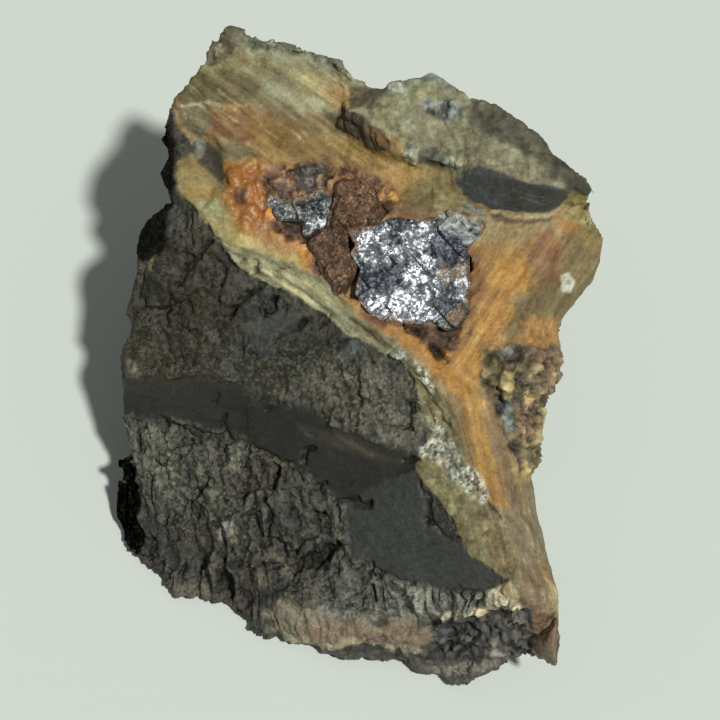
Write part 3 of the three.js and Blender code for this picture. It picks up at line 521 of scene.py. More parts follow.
# Stains are tables by name. Each row is an outline in pixels of the photograph, a colour, how strongly it
# covers, how soft and how ragged its edge is, and in some tables a gloss. These are the shades of the slate.
SLATE_SHADES = {
    # Painted shade: a dark band under the upper edge of the riser.
    "painted shade under the riser's edge": ([(180, 372), (262, 392), (300, 412), (340, 440), (300, 440), (220, 410)],
        (26, 25, 20), 0.9, 6, 3),
    "dark upper left": ([(120, 240), (220, 240), (240, 300), (220, 380), (110, 384)],
        (37, 33, 20), 0.9, 14, 3),
    "dark upper middle": ([(240, 290), (330, 320), (330, 385), (240, 385)], (31, 30, 20), 0.85, 14, 3),
    # Painted sheen: the upper right of the slate is painted paler where it shines.
    "painted sheen on the upper right": ([(330, 345), (390, 360), (428, 400), (436, 440), (400, 450), (340, 430),
        (300, 390)], (76, 75, 60), 0.75, 12, 3),
    "green facet": (GREEN_FACET, (54, 57, 50), 0.9, 2, 3),
    "pale left of the foot": ([(120, 418), (178, 416), (206, 440), (212, 500), (176, 510), (136, 474),
        (120, 450)], (76, 78, 66), 0.7, 8, 3),
    "pale lump": ([(222, 440), (246, 436), (254, 450), (240, 476), (226, 470)], (82, 83, 68), 0.6, 5, 3),
    "pale strip under the plane": ([(400, 578), (440, 590), (484, 594), (484, 612), (440, 616), (404, 622),
        (376, 612), (384, 586)], (108, 110, 98), 0.8, 5, 3),
    "grey foot": ([(358, 560), (400, 582), (396, 612), (350, 612), (340, 580)], (86, 87, 78), 0.6, 7, 3),
    "pale spot of the foot": ([(405, 586), (432, 590), (420, 616), (402, 618)], (138, 138, 122), 0.5, 5, 3),
    "grey spot of the foot": ([(318, 564), (350, 560), (352, 600), (324, 606)], (72, 74, 68), 0.6, 5, 3),
    "dark middle of the foot": ([(262, 476), (330, 490), (340, 540), (300, 560), (262, 540)],
        (44, 45, 38), 0.7, 10, 3),
    "lower plane": (LOWER_PLANE, (57, 59, 52), 0.9, 3, 3),
}

# Where pale specks on the slate are painted with glints of light, and how strongly.
GLINTING_SPECKS = {
    "upper right": ([(330, 366), (372, 360), (430, 388), (440, 436), (400, 440), (340, 424)], 0.6),
    "beside the olive facet": ([(364, 394), (434, 388), (438, 420), (376, 424)], 1.0),
    "upper middle": ([(240, 346), (300, 340), (350, 356), (336, 404), (256, 402)], 0.4),
    "upper left": ([(130, 300), (230, 330), (250, 390), (120, 384)], 0.3),
    "left of the foot": ([(124, 426), (256, 440), (260, 560), (150, 520)], 0.3),
    "lower foot": ([(260, 560), (400, 590), (440, 616), (300, 610)], 0.4),
}

# Small spots, streaks and grains on the slate, and two patches of painted shade.
SLATE_SPOTS = {
    "blue-grey streak": ([(335, 352), (350, 342), (368, 334), (370, 340), (350, 360), (338, 364)],
        (96, 106, 110), 0.5, 3, 3),
    "brown streak of the riser": ([(300, 424), (340, 436), (384, 456), (404, 462), (384, 462), (330, 446),
        (298, 432)], (86, 74, 56), 0.5, 5, 3),
    "cream streak of the riser": ([(340, 436), (364, 446), (378, 455), (360, 452)],
        (112, 101, 78), 0.5, 3, 3),
    "pale edge spot": ([(127, 358), (138, 360), (140, 380), (128, 376)], (120, 118, 104), 0.6, 2.5, 3),
    "khaki edge spot": ([(147, 252), (158, 248), (160, 270), (148, 280), (143, 270)],
        (116, 108, 76), 0.8, 2.5, 3),
    "cream edge spot": ([(119, 436), (128, 440), (134, 464), (124, 456)], (146, 138, 112), 0.7, 2, 3),
    "cream grain": ([(202, 506), (211, 504), (215, 518), (205, 519)], (140, 136, 108), 0.6, 2, 3),
    "first quartz grain": ([(214, 530), (223, 528), (222, 541), (215, 541)], QUARTZ, 0.5, 1.5, 3),
    "second quartz grain": ([(224, 522), (232, 521), (236, 530), (227, 536)], QUARTZ, 0.5, 1.5, 3),
    "olive grain": ([(228, 528), (240, 532), (240, 544), (230, 542)], (130, 124, 98), 0.5, 2, 3),
    # Painted shade on the top of the left wall, which faces away from the light.
    "painted shade on the left wall": ([(155, 90), (172, 108), (176, 130), (170, 150), (156, 150)], (30, 29, 24), 0.85, 3, 3),
    # Painted shade in the shadowed gap at the edge of the lower plane.
    "painted shade at the edge of the plane": ([(414, 468), (424, 480), (436, 496), (452, 520), (456, 540), (428, 524)],
        (50, 49, 44), 0.7, 2, 3),
}

# The pale seam along the foot of the slate, and what shows under it.
SEAM_STAINS = {
    "pale seam": (PALE_SEAM, (136, 128, 104), 0.8, 5, 9),
    "brown seam": ([(300, 622), (350, 624), (400, 626), (440, 634), (432, 644), (350, 642), (300, 636)],
        (132, 106, 82), 0.5, 4, 5),
    "cream edge": ([(290, 632), (330, 642), (352, 636), (420, 648), (420, 654), (352, 642), (330, 650),
        (290, 640)], (176, 164, 132), 0.7, 1.5, 3),
    "grey spot": ([(322, 606), (356, 612), (356, 619), (322, 616)], (136, 140, 132), 0.6, 3, 3),
    "grey underside": ([(270, 642), (350, 652), (420, 658), (500, 667), (540, 662), (520, 700), (380, 690),
        (250, 630)], (88, 85, 75), 0.75, 4, 3),
    "brown left end": ([(166, 578), (200, 584), (220, 600), (180, 602)], (96, 88, 72), 0.6, 4, 3),
    "pale tip": ([(430, 668), (470, 664), (500, 660), (500, 668), (440, 678)], (140, 134, 116), 0.6, 2, 3),
}


def colour_slate(rock, seen, hackle, smooth, number, crest_light_and_hollow_shade):
    """Colours the slate with painted light and shade, and returns how strongly each point of it glitters."""
    points = rock.points
    mottle = layers(points, 2.2, 301)
    speck = layers(points, 0.8, 321, 2)
    rock.tint(smooth_step(0.1, 0.8, layers(points, 8, 311, 2)) * 0.35, BROWN)
    rock.tint(smooth, SMOOTH_SLATE, 0.35)
    rock.paint(RISER, RISER_SLATE, 0.9, 0.3, 4)
    rock.stain(SLATE_SHADES, seen)
    rock.tint(hackle * smooth_step(0.1, 0.9, mottle) * 0.3, PALE_SLATE)
    rock.tint(hackle * smooth_step(0.1, 0.9, -mottle) * 0.4, DARK_SLATE)
    rock.vary(hackle * (number - 0.5), (0.3, 0.3, 0.28))
    # Painted light on the crests of the fracture and painted shade in its hollows.
    rock.vary(hackle * crest_light_and_hollow_shade, (0.7, 0.7, 0.66))
    rock.vary(speck, (0.2, 0.2, 0.19))
    # A faint painted glint over all the hackly slate, stronger in the listed areas.
    glint_specks = 0.08 * hackle
    for outline, strength in GLINTING_SPECKS.values():
        glint_specks = np.maximum(glint_specks, strength * rock.cover(outline, 14, 6) * seen)
    rock.stain(SLATE_SPOTS, seen, 0.3)
    # Painted shade: the left flank, which faces away from the light, is painted black.
    rock.paint(SHADED_EDGE, EDGE_SHADE_BLACK, 1.0, 0.0, 1.5, 3, seen)
    rock.paint(SHADED_WALL, WALL_SHADE_BLACK, 0.95, 0.0, 3, 3, seen)
    rock.stain(SEAM_STAINS, rock.facing)
    return glint_specks


# The upper part of the vein face.
UPPER_STAINS = {
    "khaki ground": ([(170, 20), (400, 20), (370, 110), (330, 130), (250, 108), (180, 108)],
        KHAKI, 0.95, 5, 6),
    "grey-green corner": ([(236, 30), (352, 50), (372, 90), (330, 70), (250, 56)],
        (142, 144, 118), 0.8, 5, 6),
    "grey-green streak": ([(250, 66), (290, 84), (330, 106), (322, 116), (286, 106), (254, 84)],
        (158, 158, 126), 0.8, 5, 5),
    "yellow streak": ([(284, 66), (330, 74), (340, 92), (306, 90)], (172, 158, 108), 0.7, 5, 5),
    "tan corner": ([(322, 88), (352, 84), (352, 108), (334, 114)], (168, 136, 88), 0.85, 3, 3),
    "olive left": ([(180, 74), (226, 70), (256, 78), (262, 98), (238, 104), (180, 104)],
        (98, 86, 54), 0.8, 5, 5),
    "khaki facet": ([(176, 108), (210, 108), (214, 122), (204, 138), (184, 130)],
        (116, 108, 78), 0.9, 2.5, 2),
    "reddish streak": ([(208, 110), (236, 108), (270, 112), (290, 128), (272, 142), (214, 138)],
        (122, 86, 46), 0.8, 5, 6),
    "red spot": ([(240, 137), (256, 136), (258, 142), (242, 142)], (112, 50, 32), 0.8, 2, 2),
    "yellow spot": ([(222, 104), (242, 104), (242, 111), (224, 111)], (186, 142, 76), 0.8, 2, 2),
    "ochre band": ([(250, 112), (330, 118), (400, 160), (400, 182), (300, 174), (250, 160)],
        (132, 105, 52), 0.85, 7, 6),
    "olive band": ([(270, 104), (330, 124), (344, 136), (320, 138), (276, 118)], (118, 106, 70), 0.7, 4, 5),
    "grey-olive patch": ([(214, 142), (240, 146), (268, 160), (270, 168), (240, 160), (216, 150)],
        (94, 92, 68), 0.75, 3, 3),
    "ochre patch": ([(330, 150), (400, 160), (420, 176), (380, 178), (330, 166)],
        (160, 130, 76), 0.7, 5, 5),
    "cream strip": ([(392, 168), (430, 166), (452, 174), (430, 182), (396, 182)],
        (184, 166, 108), 0.8, 4, 4),
}


def colour_upper_face(rock, vein):
    """The khaki upper part of the vein face, streaked along its striae, and its crumbly rim."""
    points = rock.points
    streaks = streaks_along(points, DOWN_RIGHT, 1.6, 341)
    rock.tint(vein, TAN, 0.35)
    rock.stain(UPPER_STAINS, vein, 0.3)
    upper = vein * rock.cover(UPPER_VEIN, 10)
    rock.vary(upper * streaks, (0.22, 0.26, 0.32))
    bright_streaks = streaks_along(points, DOWN_RIGHT, 0.9, 345)
    rock.tint(upper * smooth_step(0.3, 0.8, bright_streaks) * 0.5, CREAM, 0.6)
    dots = smooth_step(0.25, 0.6, layers(points, 1.3, 361, 2))
    rock.paint(RIM, PALE_RIM, 0.7, 0.4, 3, 3, vein * dots)
    rock.paint(RIM, DARK_RIM, 0.6, 0.3, 3, 3, vein * (1 - dots))
    # A painted highlight along the edge of the upper step.
    rock.tint(rock.along(UPPER_STEP_EDGE, 2.2) * 0.75, STEP_EDGE_HIGHLIGHT, 0.5)
    return upper


# The left margin of the vein face, with the knobs.
MARGIN_STAINS = {
    "khaki margin": ([(178, 160), (200, 156), (226, 190), (240, 246), (222, 244), (196, 212), (176, 192)],
        (148, 134, 88), 0.95, 3, 3, 0.45),
    "ochre corner": ([(186, 160), (202, 164), (204, 176), (186, 180)], (136, 110, 62), 0.6, 4, 3, 0.4),
    "orange streak": ([(184, 184), (214, 188), (214, 198), (190, 200)], (178, 138, 70), 0.6, 3, 5, 0.5),
    "pale streak": ([(192, 198), (218, 200), (224, 216), (204, 212)], (166, 166, 122), 0.8, 3, 3, 0.6),
    "notch": (NOTCH, (62, 61, 48), 0.9, 2, 2, 0.3),
    "edge of the notch": ([(196, 138), (206, 141), (204, 156), (196, 160)],
        (142, 146, 132), 0.75, 1.5, 1, 0.4),
    "cream edge": ([(202, 214), (216, 216), (226, 244), (236, 258), (228, 260), (220, 246)],
        CREAM, 0.6, 2.5, 2, 0.5),
    "yellow margin": ([(222, 222), (246, 232), (272, 246), (300, 256), (322, 274), (300, 270), (262, 252),
        (230, 244)], (184, 166, 104), 0.9, 3, 3, 0.5),
    "orange ground": ([(226, 163), (262, 158), (290, 176), (286, 232), (318, 252), (330, 266), (322, 276),
        (296, 256), (262, 244), (240, 230), (224, 200)], ORANGE, 0.9, 4, 4, 0.6),
    "deep orange knobs": ([(228, 166), (248, 164), (272, 180), (270, 210), (262, 232), (240, 220),
        (226, 190)], DEEP_ORANGE, 0.75, 4, 3, 0.85),
    "ochre lower margin": ([(300, 246), (322, 256), (330, 268), (322, 278), (302, 264)],
        (176, 128, 56), 0.9, 2.5, 3, 0.4),
    "dark hollow": ([(242, 190), (248, 192), (246, 204), (238, 202), (236, 192)],
        (58, 36, 20), 0.8, 2.5, 2, 0.4),
}

# Granular iron oxide round the two masses of galena.
GRANULAR_STAINS = {
    "brown ground": (GRANULAR, (96, 64, 42), 0.95, 4, 5, 0.4),
    "brown above the small mass": ([(272, 166), (330, 164), (340, 192), (276, 192)],
        (112, 84, 56), 0.75, 4, 5, 0.5),
    "brown beside the crust": ([(338, 170), (388, 172), (400, 196), (384, 214), (360, 210)],
        (116, 84, 52), 0.7, 5, 6, 0.4),
    "grey film": ([(294, 168), (322, 166), (332, 184), (302, 188)], (104, 98, 86), 0.7, 4, 5, 0.7),
    "pale grey corner": ([(438, 204), (456, 202), (482, 210), (494, 226), (484, 242), (470, 240)],
        (140, 142, 126), 0.75, 4, 5, 0.3),
    "orange above the large mass": ([(376, 168), (420, 172), (424, 188), (396, 206), (380, 196)],
        (166, 128, 72), 0.8, 5, 5, 0.3),
    "dark olive": ([(400, 200), (432, 198), (440, 208), (420, 218), (396, 222)],
        (92, 74, 44), 0.8, 3, 4, 0.3),
    "rust": ([(378, 214), (402, 212), (440, 214), (436, 222), (400, 224)], (128, 80, 48), 0.6, 3, 3, 0.3),
    "khaki under the slab": ([(420, 176), (470, 176), (474, 204), (440, 210), (412, 200), (404, 190)],
        (134, 122, 78), 0.85, 3, 4, 0.25),
    "olive under the slab": ([(404, 190), (430, 192), (440, 200), (412, 206)],
        (104, 92, 50), 0.7, 3, 4, 0.25),
    "pits": (PITS, (78, 52, 38), 0.95, 3, 4, 0.35),
    "orange lip": ([(330, 294), (350, 298), (372, 316), (400, 326), (396, 336), (362, 322), (340, 306)],
        ORANGE, 0.85, 2.5, 3, 0.4),
    "rust of the lip": ([(362, 312), (376, 314), (392, 324), (384, 328), (366, 320)],
        (104, 62, 44), 0.8, 2.5, 3, 0.3),
}


def colour_round_galena(rock, vein, pieces, crumbs, granular):
    """The left margin of the vein face and the granular iron oxide round the galena, with painted light and
    shade.
    """
    rock.stain(MARGIN_STAINS, rock.facing)
    rock.stain(GRANULAR_STAINS, vein)
    # Painted light on the raised grains and painted shade in the hollows between them.
    rock.vary(vein * granular * pieces, (0.9, 0.9, 0.85))
    rock.vary(vein * granular * crumbs, (0.5, 0.55, 0.55))


# The orange coating to the right of the galena, down to the tail of the stone.
RIGHT_STAINS = {
    "tan top": ([(466, 214), (544, 216), (600, 206), (612, 255), (556, 250), (500, 254), (470, 246)],
        (150, 132, 90), 0.9, 5, 6),
    "ochre ground": ([(470, 246), (500, 240), (560, 244), (556, 290), (530, 345), (500, 380), (462, 380),
        (452, 350), (470, 320)], (154, 115, 57), 0.9, 7, 6),
    "bright orange": ([(494, 262), (526, 258), (534, 290), (512, 330), (488, 344), (474, 330), (486, 300)],
        (180, 133, 62), 0.85, 7, 6),
    "rust beside the galena": ([(466, 246), (482, 250), (486, 290), (472, 320), (460, 316), (470, 290)],
        (132, 92, 52), 0.8, 4, 4),
    "rust streak": ([(536, 232), (562, 236), (562, 262), (540, 262)], (142, 96, 58), 0.7, 5, 6),
    "brown streak": ([(530, 254), (562, 250), (560, 290), (530, 330), (520, 320), (532, 290)],
        (128, 98, 66), 0.75, 5, 6),
    "olive foot": ([(514, 296), (560, 280), (590, 300), (560, 330), (540, 340), (504, 342), (508, 320)],
        (108, 97, 64), 0.75, 6, 7),
    "yellow tip": ([(560, 194), (600, 194), (606, 226), (580, 232), (560, 214)], (158, 146, 94), 0.9, 4, 4),
    "orange under the tip": ([(556, 214), (580, 222), (578, 236), (558, 232)], (176, 126, 64), 0.8, 4, 4),
    "olive edge": ([(562, 236), (606, 220), (606, 300), (580, 310), (560, 290)], (124, 110, 74), 0.8, 5, 6),
    "yellow spot": ([(580, 230), (600, 236), (594, 256), (582, 250)], (160, 136, 78), 0.6, 4, 4),
    "orange above the nodules": ([(520, 322), (552, 316), (560, 330), (545, 362), (520, 352)],
        (176, 128, 70), 0.8, 4, 5),
    "orange below the galena": ([(440, 352), (470, 344), (486, 352), (482, 384), (470, 396), (446, 374)],
        (178, 131, 61), 0.85, 5, 5),
    "orange below the rind": ([(388, 322), (408, 330), (430, 352), (452, 372), (476, 396), (466, 404),
        (440, 380), (404, 344)], (172, 123, 54), 0.9, 3, 3),
    "orange band": ([(456, 384), (480, 392), (492, 440), (502, 486), (512, 512), (500, 518), (484, 492),
        (466, 430)], (167, 127, 62), 0.9, 4, 4),
    "brown edge of the band": ([(482, 392), (500, 420), (512, 470), (520, 504), (510, 512), (500, 470),
        (488, 430)], (128, 104, 72), 0.8, 3, 4),
    "tail": ([(498, 512), (520, 500), (532, 530), (556, 620), (560, 680), (540, 680), (534, 640),
        (518, 600), (506, 556)], (142, 128, 104), 0.85, 5, 6),
    "rust of the tail": ([(508, 552), (536, 570), (548, 640), (556, 652), (540, 660), (518, 604)],
        (126, 98, 76), 0.7, 5, 7),
    "grey-olive upper tail": ([(520, 476), (536, 480), (560, 580), (548, 570), (530, 520)],
        (120, 113, 88), 0.8, 4, 4),
    "cream edge of the tail": ([(548, 580), (560, 586), (566, 612), (554, 610)],
        (190, 176, 136), 0.8, 2.5, 3),
    "brown end of the tail": ([(538, 616), (562, 620), (560, 656), (542, 656)], (122, 96, 74), 0.85, 3, 4),
    "grey tip of the tail": ([(544, 656), (564, 654), (564, 680), (544, 680)], (104, 96, 82), 0.85, 2.5, 3),
}


def colour_right_side(rock, vein):
    """The streaked coating on the right. Returns how far its upper and its lower part cover each point."""
    points = rock.points
    rock.stain(RIGHT_STAINS, vein, 0.35)
    right = vein * rock.cover(RIGHT_VEIN, 8)
    rock.vary(right * streaks_along(points, DOWN_LEFT, 1.5, 351), (0.14, 0.18, 0.24))
    lower = vein * rock.cover(LOWER_VEIN, 8)
    rock.vary(lower * streaks_along(points, DOWN, 1.4, 371), (0.20, 0.22, 0.26))
    return right, lower


# The nodules on the right edge.
NODULE_STAINS = {
    "ground": (NODULES, (106, 96, 70), 0.9, 4, 4),
    "brown right side": ([(526, 352), (552, 344), (564, 380), (552, 400), (540, 396), (534, 370)],
        (112, 93, 74), 0.8, 4, 5),
    "yellow nodule": ([(508, 384), (530, 380), (530, 400), (512, 400)], (150, 134, 88), 0.6, 4, 4),
    "blue-grey streak": ([(498, 402), (510, 400), (516, 424), (516, 432), (506, 430), (502, 416)],
        (112, 124, 124), 0.9, 2, 2),
    "red strip": ([(518, 402), (534, 402), (530, 440), (522, 440)], (130, 104, 80), 0.8, 3, 4),
    "cream lower nodule": ([(512, 462), (530, 464), (528, 484), (516, 482)], (160, 140, 92), 0.8, 3, 3),
    "quartz spot": ([(501, 346), (516, 344), (514, 358), (502, 354)], QUARTZ, 0.75, 2.5, 2),
    "olive left side": ([(482, 354), (496, 352), (502, 376), (490, 382)], (88, 82, 54), 0.7, 4, 4),
}

# The pale rind along the ridge, and the olive facet below it.
RIND_STAINS = {
    "rind": (RIDGE_RIND, RIND, 0.9, 2, 2.5),
    "brown middle": ([(345, 300), (360, 316), (396, 342), (384, 348), (350, 326)],
        (106, 98, 70), 0.85, 2.5, 3),
    "grey-olive end": ([(404, 352), (422, 372), (442, 400), (456, 430), (440, 436), (424, 410)],
        (118, 114, 86), 0.8, 3, 3),
    "cream streak": ([(250, 262), (300, 280), (330, 300), (322, 308), (280, 286), (250, 272)],
        (176, 172, 132), 0.5, 3, 4),
    "olive facet": (OLIVE_FACET, (128, 121, 88), 0.95, 2, 2.5),
    "yellow of the facet": ([(424, 452), (446, 460), (462, 492), (466, 520), (446, 500), (428, 474)],
        (142, 136, 96), 0.7, 5, 4),
    "brown foot of the facet": ([(484, 512), (508, 530), (522, 580), (500, 570), (480, 540)],
        (128, 106, 74), 0.6, 6, 5),
    "dark edge of the facet": ([(456, 500), (500, 512), (506, 520), (470, 516)], (110, 102, 74), 0.5, 4, 4),
}

# Patches of quartz on the rind, painted bright as glints where they sparkle.
QUARTZ_PATCHES = [
    [(390, 346), (402, 348), (410, 358), (404, 364), (392, 356)],
    [(414, 362), (424, 366), (436, 390), (432, 398), (422, 384)],
    [(430, 416), (438, 420), (444, 440), (434, 434)],
    [(420, 448), (436, 434), (452, 442), (474, 468), (490, 496), (486, 506), (468, 494), (446, 472),
     (428, 462)],
]


def colour_nodules(rock, pieces, crumbs):
    rock.stain(NODULE_STAINS, rock.facing, 0.35)
    # Painted light on the raised lumps of the nodules and painted shade between them.
    rock.vary(rock.cover(NODULES, 4) * rock.facing * (pieces + 0.7 * crumbs), (0.8, 0.8, 0.75))


def colour_rind(rock, sparkle):
    """The pale rind along the ridge, its quartz with painted glints, and the olive facet below it."""
    rock.stain(RIND_STAINS, rock.facing, 0.3)
    rind = rock.cover(RIDGE_RIND, 2) * rock.facing
    rock.vary(rind * streaks_along(rock.points, DOWN_RIGHT, 0.9, 381), (0.4, 0.4, 0.42))
    quartz = np.zeros(len(rock.points))
    for patch in QUARTZ_PATCHES:
        # Painted glints: quartz is painted bright where the sparkle noise is high and dull elsewhere.
        rock.paint(patch, GLINTING_QUARTZ, 0.9, 0.7, 3, 5, rock.facing * sparkle)
        rock.paint(patch, DULL_QUARTZ, 0.6, 0.5, 3, 5, rock.facing * (1 - sparkle))
        quartz = np.maximum(quartz, rock.cover(patch, 3, 5) * rock.facing)
    return rind, quartz


# The slab that stands over the upper right of the vein face.
SLAB_STAINS = {
    "top": (SLAB_TOP, (134, 131, 104), 0.97, 2, 2.5, 0.15),
    "grey-green peak": ([(384, 88), (432, 62), (462, 86), (450, 100), (400, 104), (380, 104)],
        (126, 132, 110), 0.7, 4, 4, 0.2),
    "yellow streak": ([(388, 100), (430, 84), (450, 92), (440, 100), (400, 108)],
        (150, 144, 106), 0.5, 4, 5, 0.15),
    # Painted shade over the right side of the slab's top.
    "shaded right side": ([(470, 96), (512, 102), (560, 140), (612, 192), (590, 198), (560, 182), (520, 150),
        (470, 118)], (80, 77, 60), 0.9, 6, 6, 0.12),
    "grey streak": ([(476, 116), (520, 124), (548, 140), (540, 148), (500, 138), (470, 128)],
        (80, 80, 66), 0.55, 5, 6, 0.12),
    # Painted shade on the tip of the slab.
    "shaded tip": ([(560, 150), (612, 192), (600, 200), (572, 190), (552, 168)],
        (66, 64, 50), 0.8, 5, 4, 0.12),
    "grey patch": (GREY_PATCH, (108, 113, 112), 0.85, 3, 4.5, 0.6),
    "wet grey of the patch": ([(442, 102), (456, 103), (456, 110), (444, 109)], WET_GREY, 0.7, 2, 4, 0.6),
    "quartz spot": ([(388, 80), (398, 80), (406, 86), (402, 93), (391, 91)], QUARTZ, 0.8, 1.5, 2, 0.5),
    "blue-grey peak": ([(424, 74), (432, 67), (446, 76), (456, 86), (444, 82), (430, 79)],
        (128, 139, 138), 0.75, 3.5, 5, 0.4),
    "cream edge of the step": ([(348, 108), (372, 108), (386, 118), (386, 134), (370, 118), (354, 113)],
        (172, 166, 132), 0.7, 2, 2, 0.2),
    "orange foot of the step": ([(384, 136), (402, 142), (406, 156), (390, 152)],
        (176, 144, 92), 0.85, 2, 2.5, 0.3),
    "foot": (SLAB_FOOT, (124, 126, 109), 0.85, 2.5, 3, 0.35),
    "khaki under the foot": ([(414, 158), (440, 162), (462, 176), (440, 174)],
        (138, 126, 84), 0.6, 3, 3, 0.3),
    # The step face's own dark fibrous colour, painted darker still as the shade of a face turned from the
    # light.
    "step": (SLAB_STEP, (64, 56, 42), 0.95, 1.8, 2, 0.3),
    "orange of the step": ([(366, 124), (380, 132), (386, 148), (376, 144), (368, 134)],
        (126, 88, 50), 0.8, 2, 2.5, 0.3),
    # Painted shadow cast by the slab's step on the surface behind it.
    "painted shadow behind the step": ([(348, 86), (386, 88), (382, 98), (368, 108), (350, 108)],
        (84, 78, 58), 0.85, 2, 2, 0.2),
    # Painted shade beside the step, on its side away from the light.
    "painted shade left of the step": ([(322, 110), (342, 114), (348, 130), (338, 134)],
        (86, 82, 60), 0.85, 2.5, 2, 0.2),
    "dark face": (SLAB_FACE, (60, 63, 62), 0.98, 1.2, 1.2, 0.35),
    "wet end of the face": ([(452, 180), (480, 166), (492, 186), (488, 204), (470, 198)],
        (70, 76, 76), 0.6, 4, 4, 0.5),
    "cream lip": ([(488, 209), (500, 210), (526, 213), (556, 214), (552, 219), (520, 218), (498, 220)],
        (166, 154, 118), 0.85, 1.2, 1.5, 0.2),
    # Painted shade under the lip of the slab's face.
    "brown painted shade under the lip": ([(489, 213), (500, 214), (510, 221), (540, 219), (556, 216), (548, 222),
        (512, 225), (494, 220)], (88, 66, 44), 0.8, 1.2, 1.8, 0.2),
    "quartz on the right": ([(560, 275), (568, 273), (576, 281), (571, 292), (562, 291)],
        QUARTZ, 0.9, 1.2, 1.2, 0.7),
    "grey of the quartz": ([(567, 280), (571, 281), (570, 285), (567, 285)],
        (140, 138, 120), 0.6, 1.2, 1, 0.4),
}

# Scratches on the dark face of the slab, and the grey patch at its left end.
LONG_SCRATCH = [(516, 196), (532, 200), (546, 206)]
FAINT_SCRATCH = [(510, 189), (530, 195), (548, 199)]
FACE_END = [(462, 200), (474, 202), (486, 214), (480, 218), (466, 208)]


def colour_slab(rock, pieces, crumbs, sparkle):
    """The slab, its stepped edge and dark scratched face, with painted shade and shadows on and round them.
    """
    rock.stain(SLAB_STAINS, rock.facing)
    # Painted light on the raised lumps of the slab's foot and grey patch, and painted shade between them.
    rock.vary(rock.cover(SLAB_FOOT, 3) * rock.facing * pieces, (1.0, 1.0, 1.0))
    rock.vary(rock.cover(GREY_PATCH, 4) * rock.facing * crumbs, (1.3, 1.3, 1.3))
    rock.tint(rock.along(LONG_SCRATCH, 1.4, 0.5) * 0.6, SCRATCH_GREY)
    rock.tint(rock.along(FAINT_SCRATCH, 1.2, 0.5) * 0.4, FAINT_GREY)
    # The grey end of the slab's face is painted only where it glints.
    rock.paint(FACE_END, FACE_GREY, 0.7, 0.5, 2, 3, rock.facing * sparkle)


# The vuggy prow at the lower right.
PROW_STAINS = {
    "cream top": ([(484, 592), (498, 586), (512, 582), (520, 596), (518, 605), (488, 606)],
        (186, 176, 146), 0.95, 1.5, 1.5),
    "orange of the top": ([(496, 586), (510, 582), (516, 594), (506, 594)], (196, 164, 120), 0.6, 2, 2),
    "ground": (PROW, (76, 75, 70), 0.95, 2.5, 3),
    "cream edge": ([(436, 610), (480, 606), (520, 604), (520, 609), (480, 613), (440, 617)],
        (178, 168, 138), 0.85, 1, 1.2),
    "pale underside": ([(486, 640), (520, 650), (520, 660), (480, 660)], (124, 122, 110), 0.5, 3, 4),
}

# Hollows between the chips of the prow, painted black as their shade.
PROW_HOLLOWS = [
    [(438, 620), (462, 614), (484, 626), (482, 640), (462, 656), (444, 640)],
    [(508, 630), (534, 628), (536, 650), (524, 656), (506, 646)],
    [(426, 634), (446, 642), (446, 652), (430, 648)],
]


def colour_prow(rock, pieces, crumbs):
    """The prow, with its hollows painted black as shade, painted light and shade on its chips, and its chips
    rusty.
    """
    points = rock.points
    rock.stain(PROW_STAINS, rock.facing, 0.3)
    prow = rock.cover(PROW, 2.5) * rock.facing
    holes = smooth_step(0.1, 0.45, layers(points, 2.2, 395))
    for hollow in PROW_HOLLOWS:
        rock.paint(hollow, HOLLOW_SHADE_BLACK, 0.95, 0.5, 2.5, 3, prow * (0.4 + 0.6 * holes))
    # Painted light on the raised chips and painted shade between them.
    rock.vary(prow * (pieces + crumbs), (0.8, 0.75, 0.72))
    rock.tint(prow * smooth_step(0.2, 0.6, layers(points, 1.1, 397)) * 0.5, PROW_RUST)


def mottle_coating(rock, body, granular, crumbs, knobs):
    """Fine light and dark over the coating, most where rough, and a painted highlight and gloss on the knobs.
    """
    points = rock.points
    rough = np.maximum(np.maximum(granular, rock.cover(SLAB_TOP, 3)), rock.cover(RIM, 3))
    rough = np.maximum(rough, np.maximum(rock.cover(NODULES, 4), rock.cover(OLIVE_FACET, 3)))
    rock.vary(body * layers(points, 2.4, 401), (0.08, 0.11, 0.16))
    rock.vary(body * layers(points, 0.7, 411, 2) * (0.4 + 0.6 * rough), (0.16, 0.18, 0.2))
    # Painted light on the raised crumbs of the coating and painted shade between them.
    rock.vary(body * crumbs * (0.3 + 0.7 * rough), (0.3, 0.32, 0.34))
    rock.colour *= 1 - body[:, None] * COATING_SHADE
    # A painted highlight on the tops of the knobs, which are also made glossy.
    rock.tint(body * smooth_step(0.1, 0.8, knobs) * 0.18, KNOB_HIGHLIGHT_ORANGE, 1.0)


def colour_vein(rock, vein, pieces, crumbs, granular, knobs):
    """Colours the coating. Returns how far each point is rind, and how far each kind of grain covers it."""
    upper = colour_upper_face(rock, vein)
    colour_round_galena(rock, vein, pieces, crumbs, granular)
    right, lower = colour_right_side(rock, vein)
    colour_nodules(rock, pieces, crumbs)
    # Where glints are painted: on the quartz and on the grey end of the slab's face.
    sparkle = smooth_step(-0.5, 0.3, layers(rock.points, 1.2, 391))
    rind, quartz = colour_rind(rock, sparkle)
    colour_slab(rock, pieces, crumbs, sparkle)
    colour_prow(rock, pieces, crumbs)
    mottle_coating(rock, np.maximum(vein, rind), granular, crumbs, knobs)
    come_and_go = smooth_step(-0.5, 0.5, layers(rock.points, 6, 421, 2))
    down_right = np.maximum(upper * come_and_go, rind)
    return rind, {"down_right": down_right, "down_left": right, "down": lower,
                  "grainy": np.maximum(0.7 * granular * vein, quartz)}


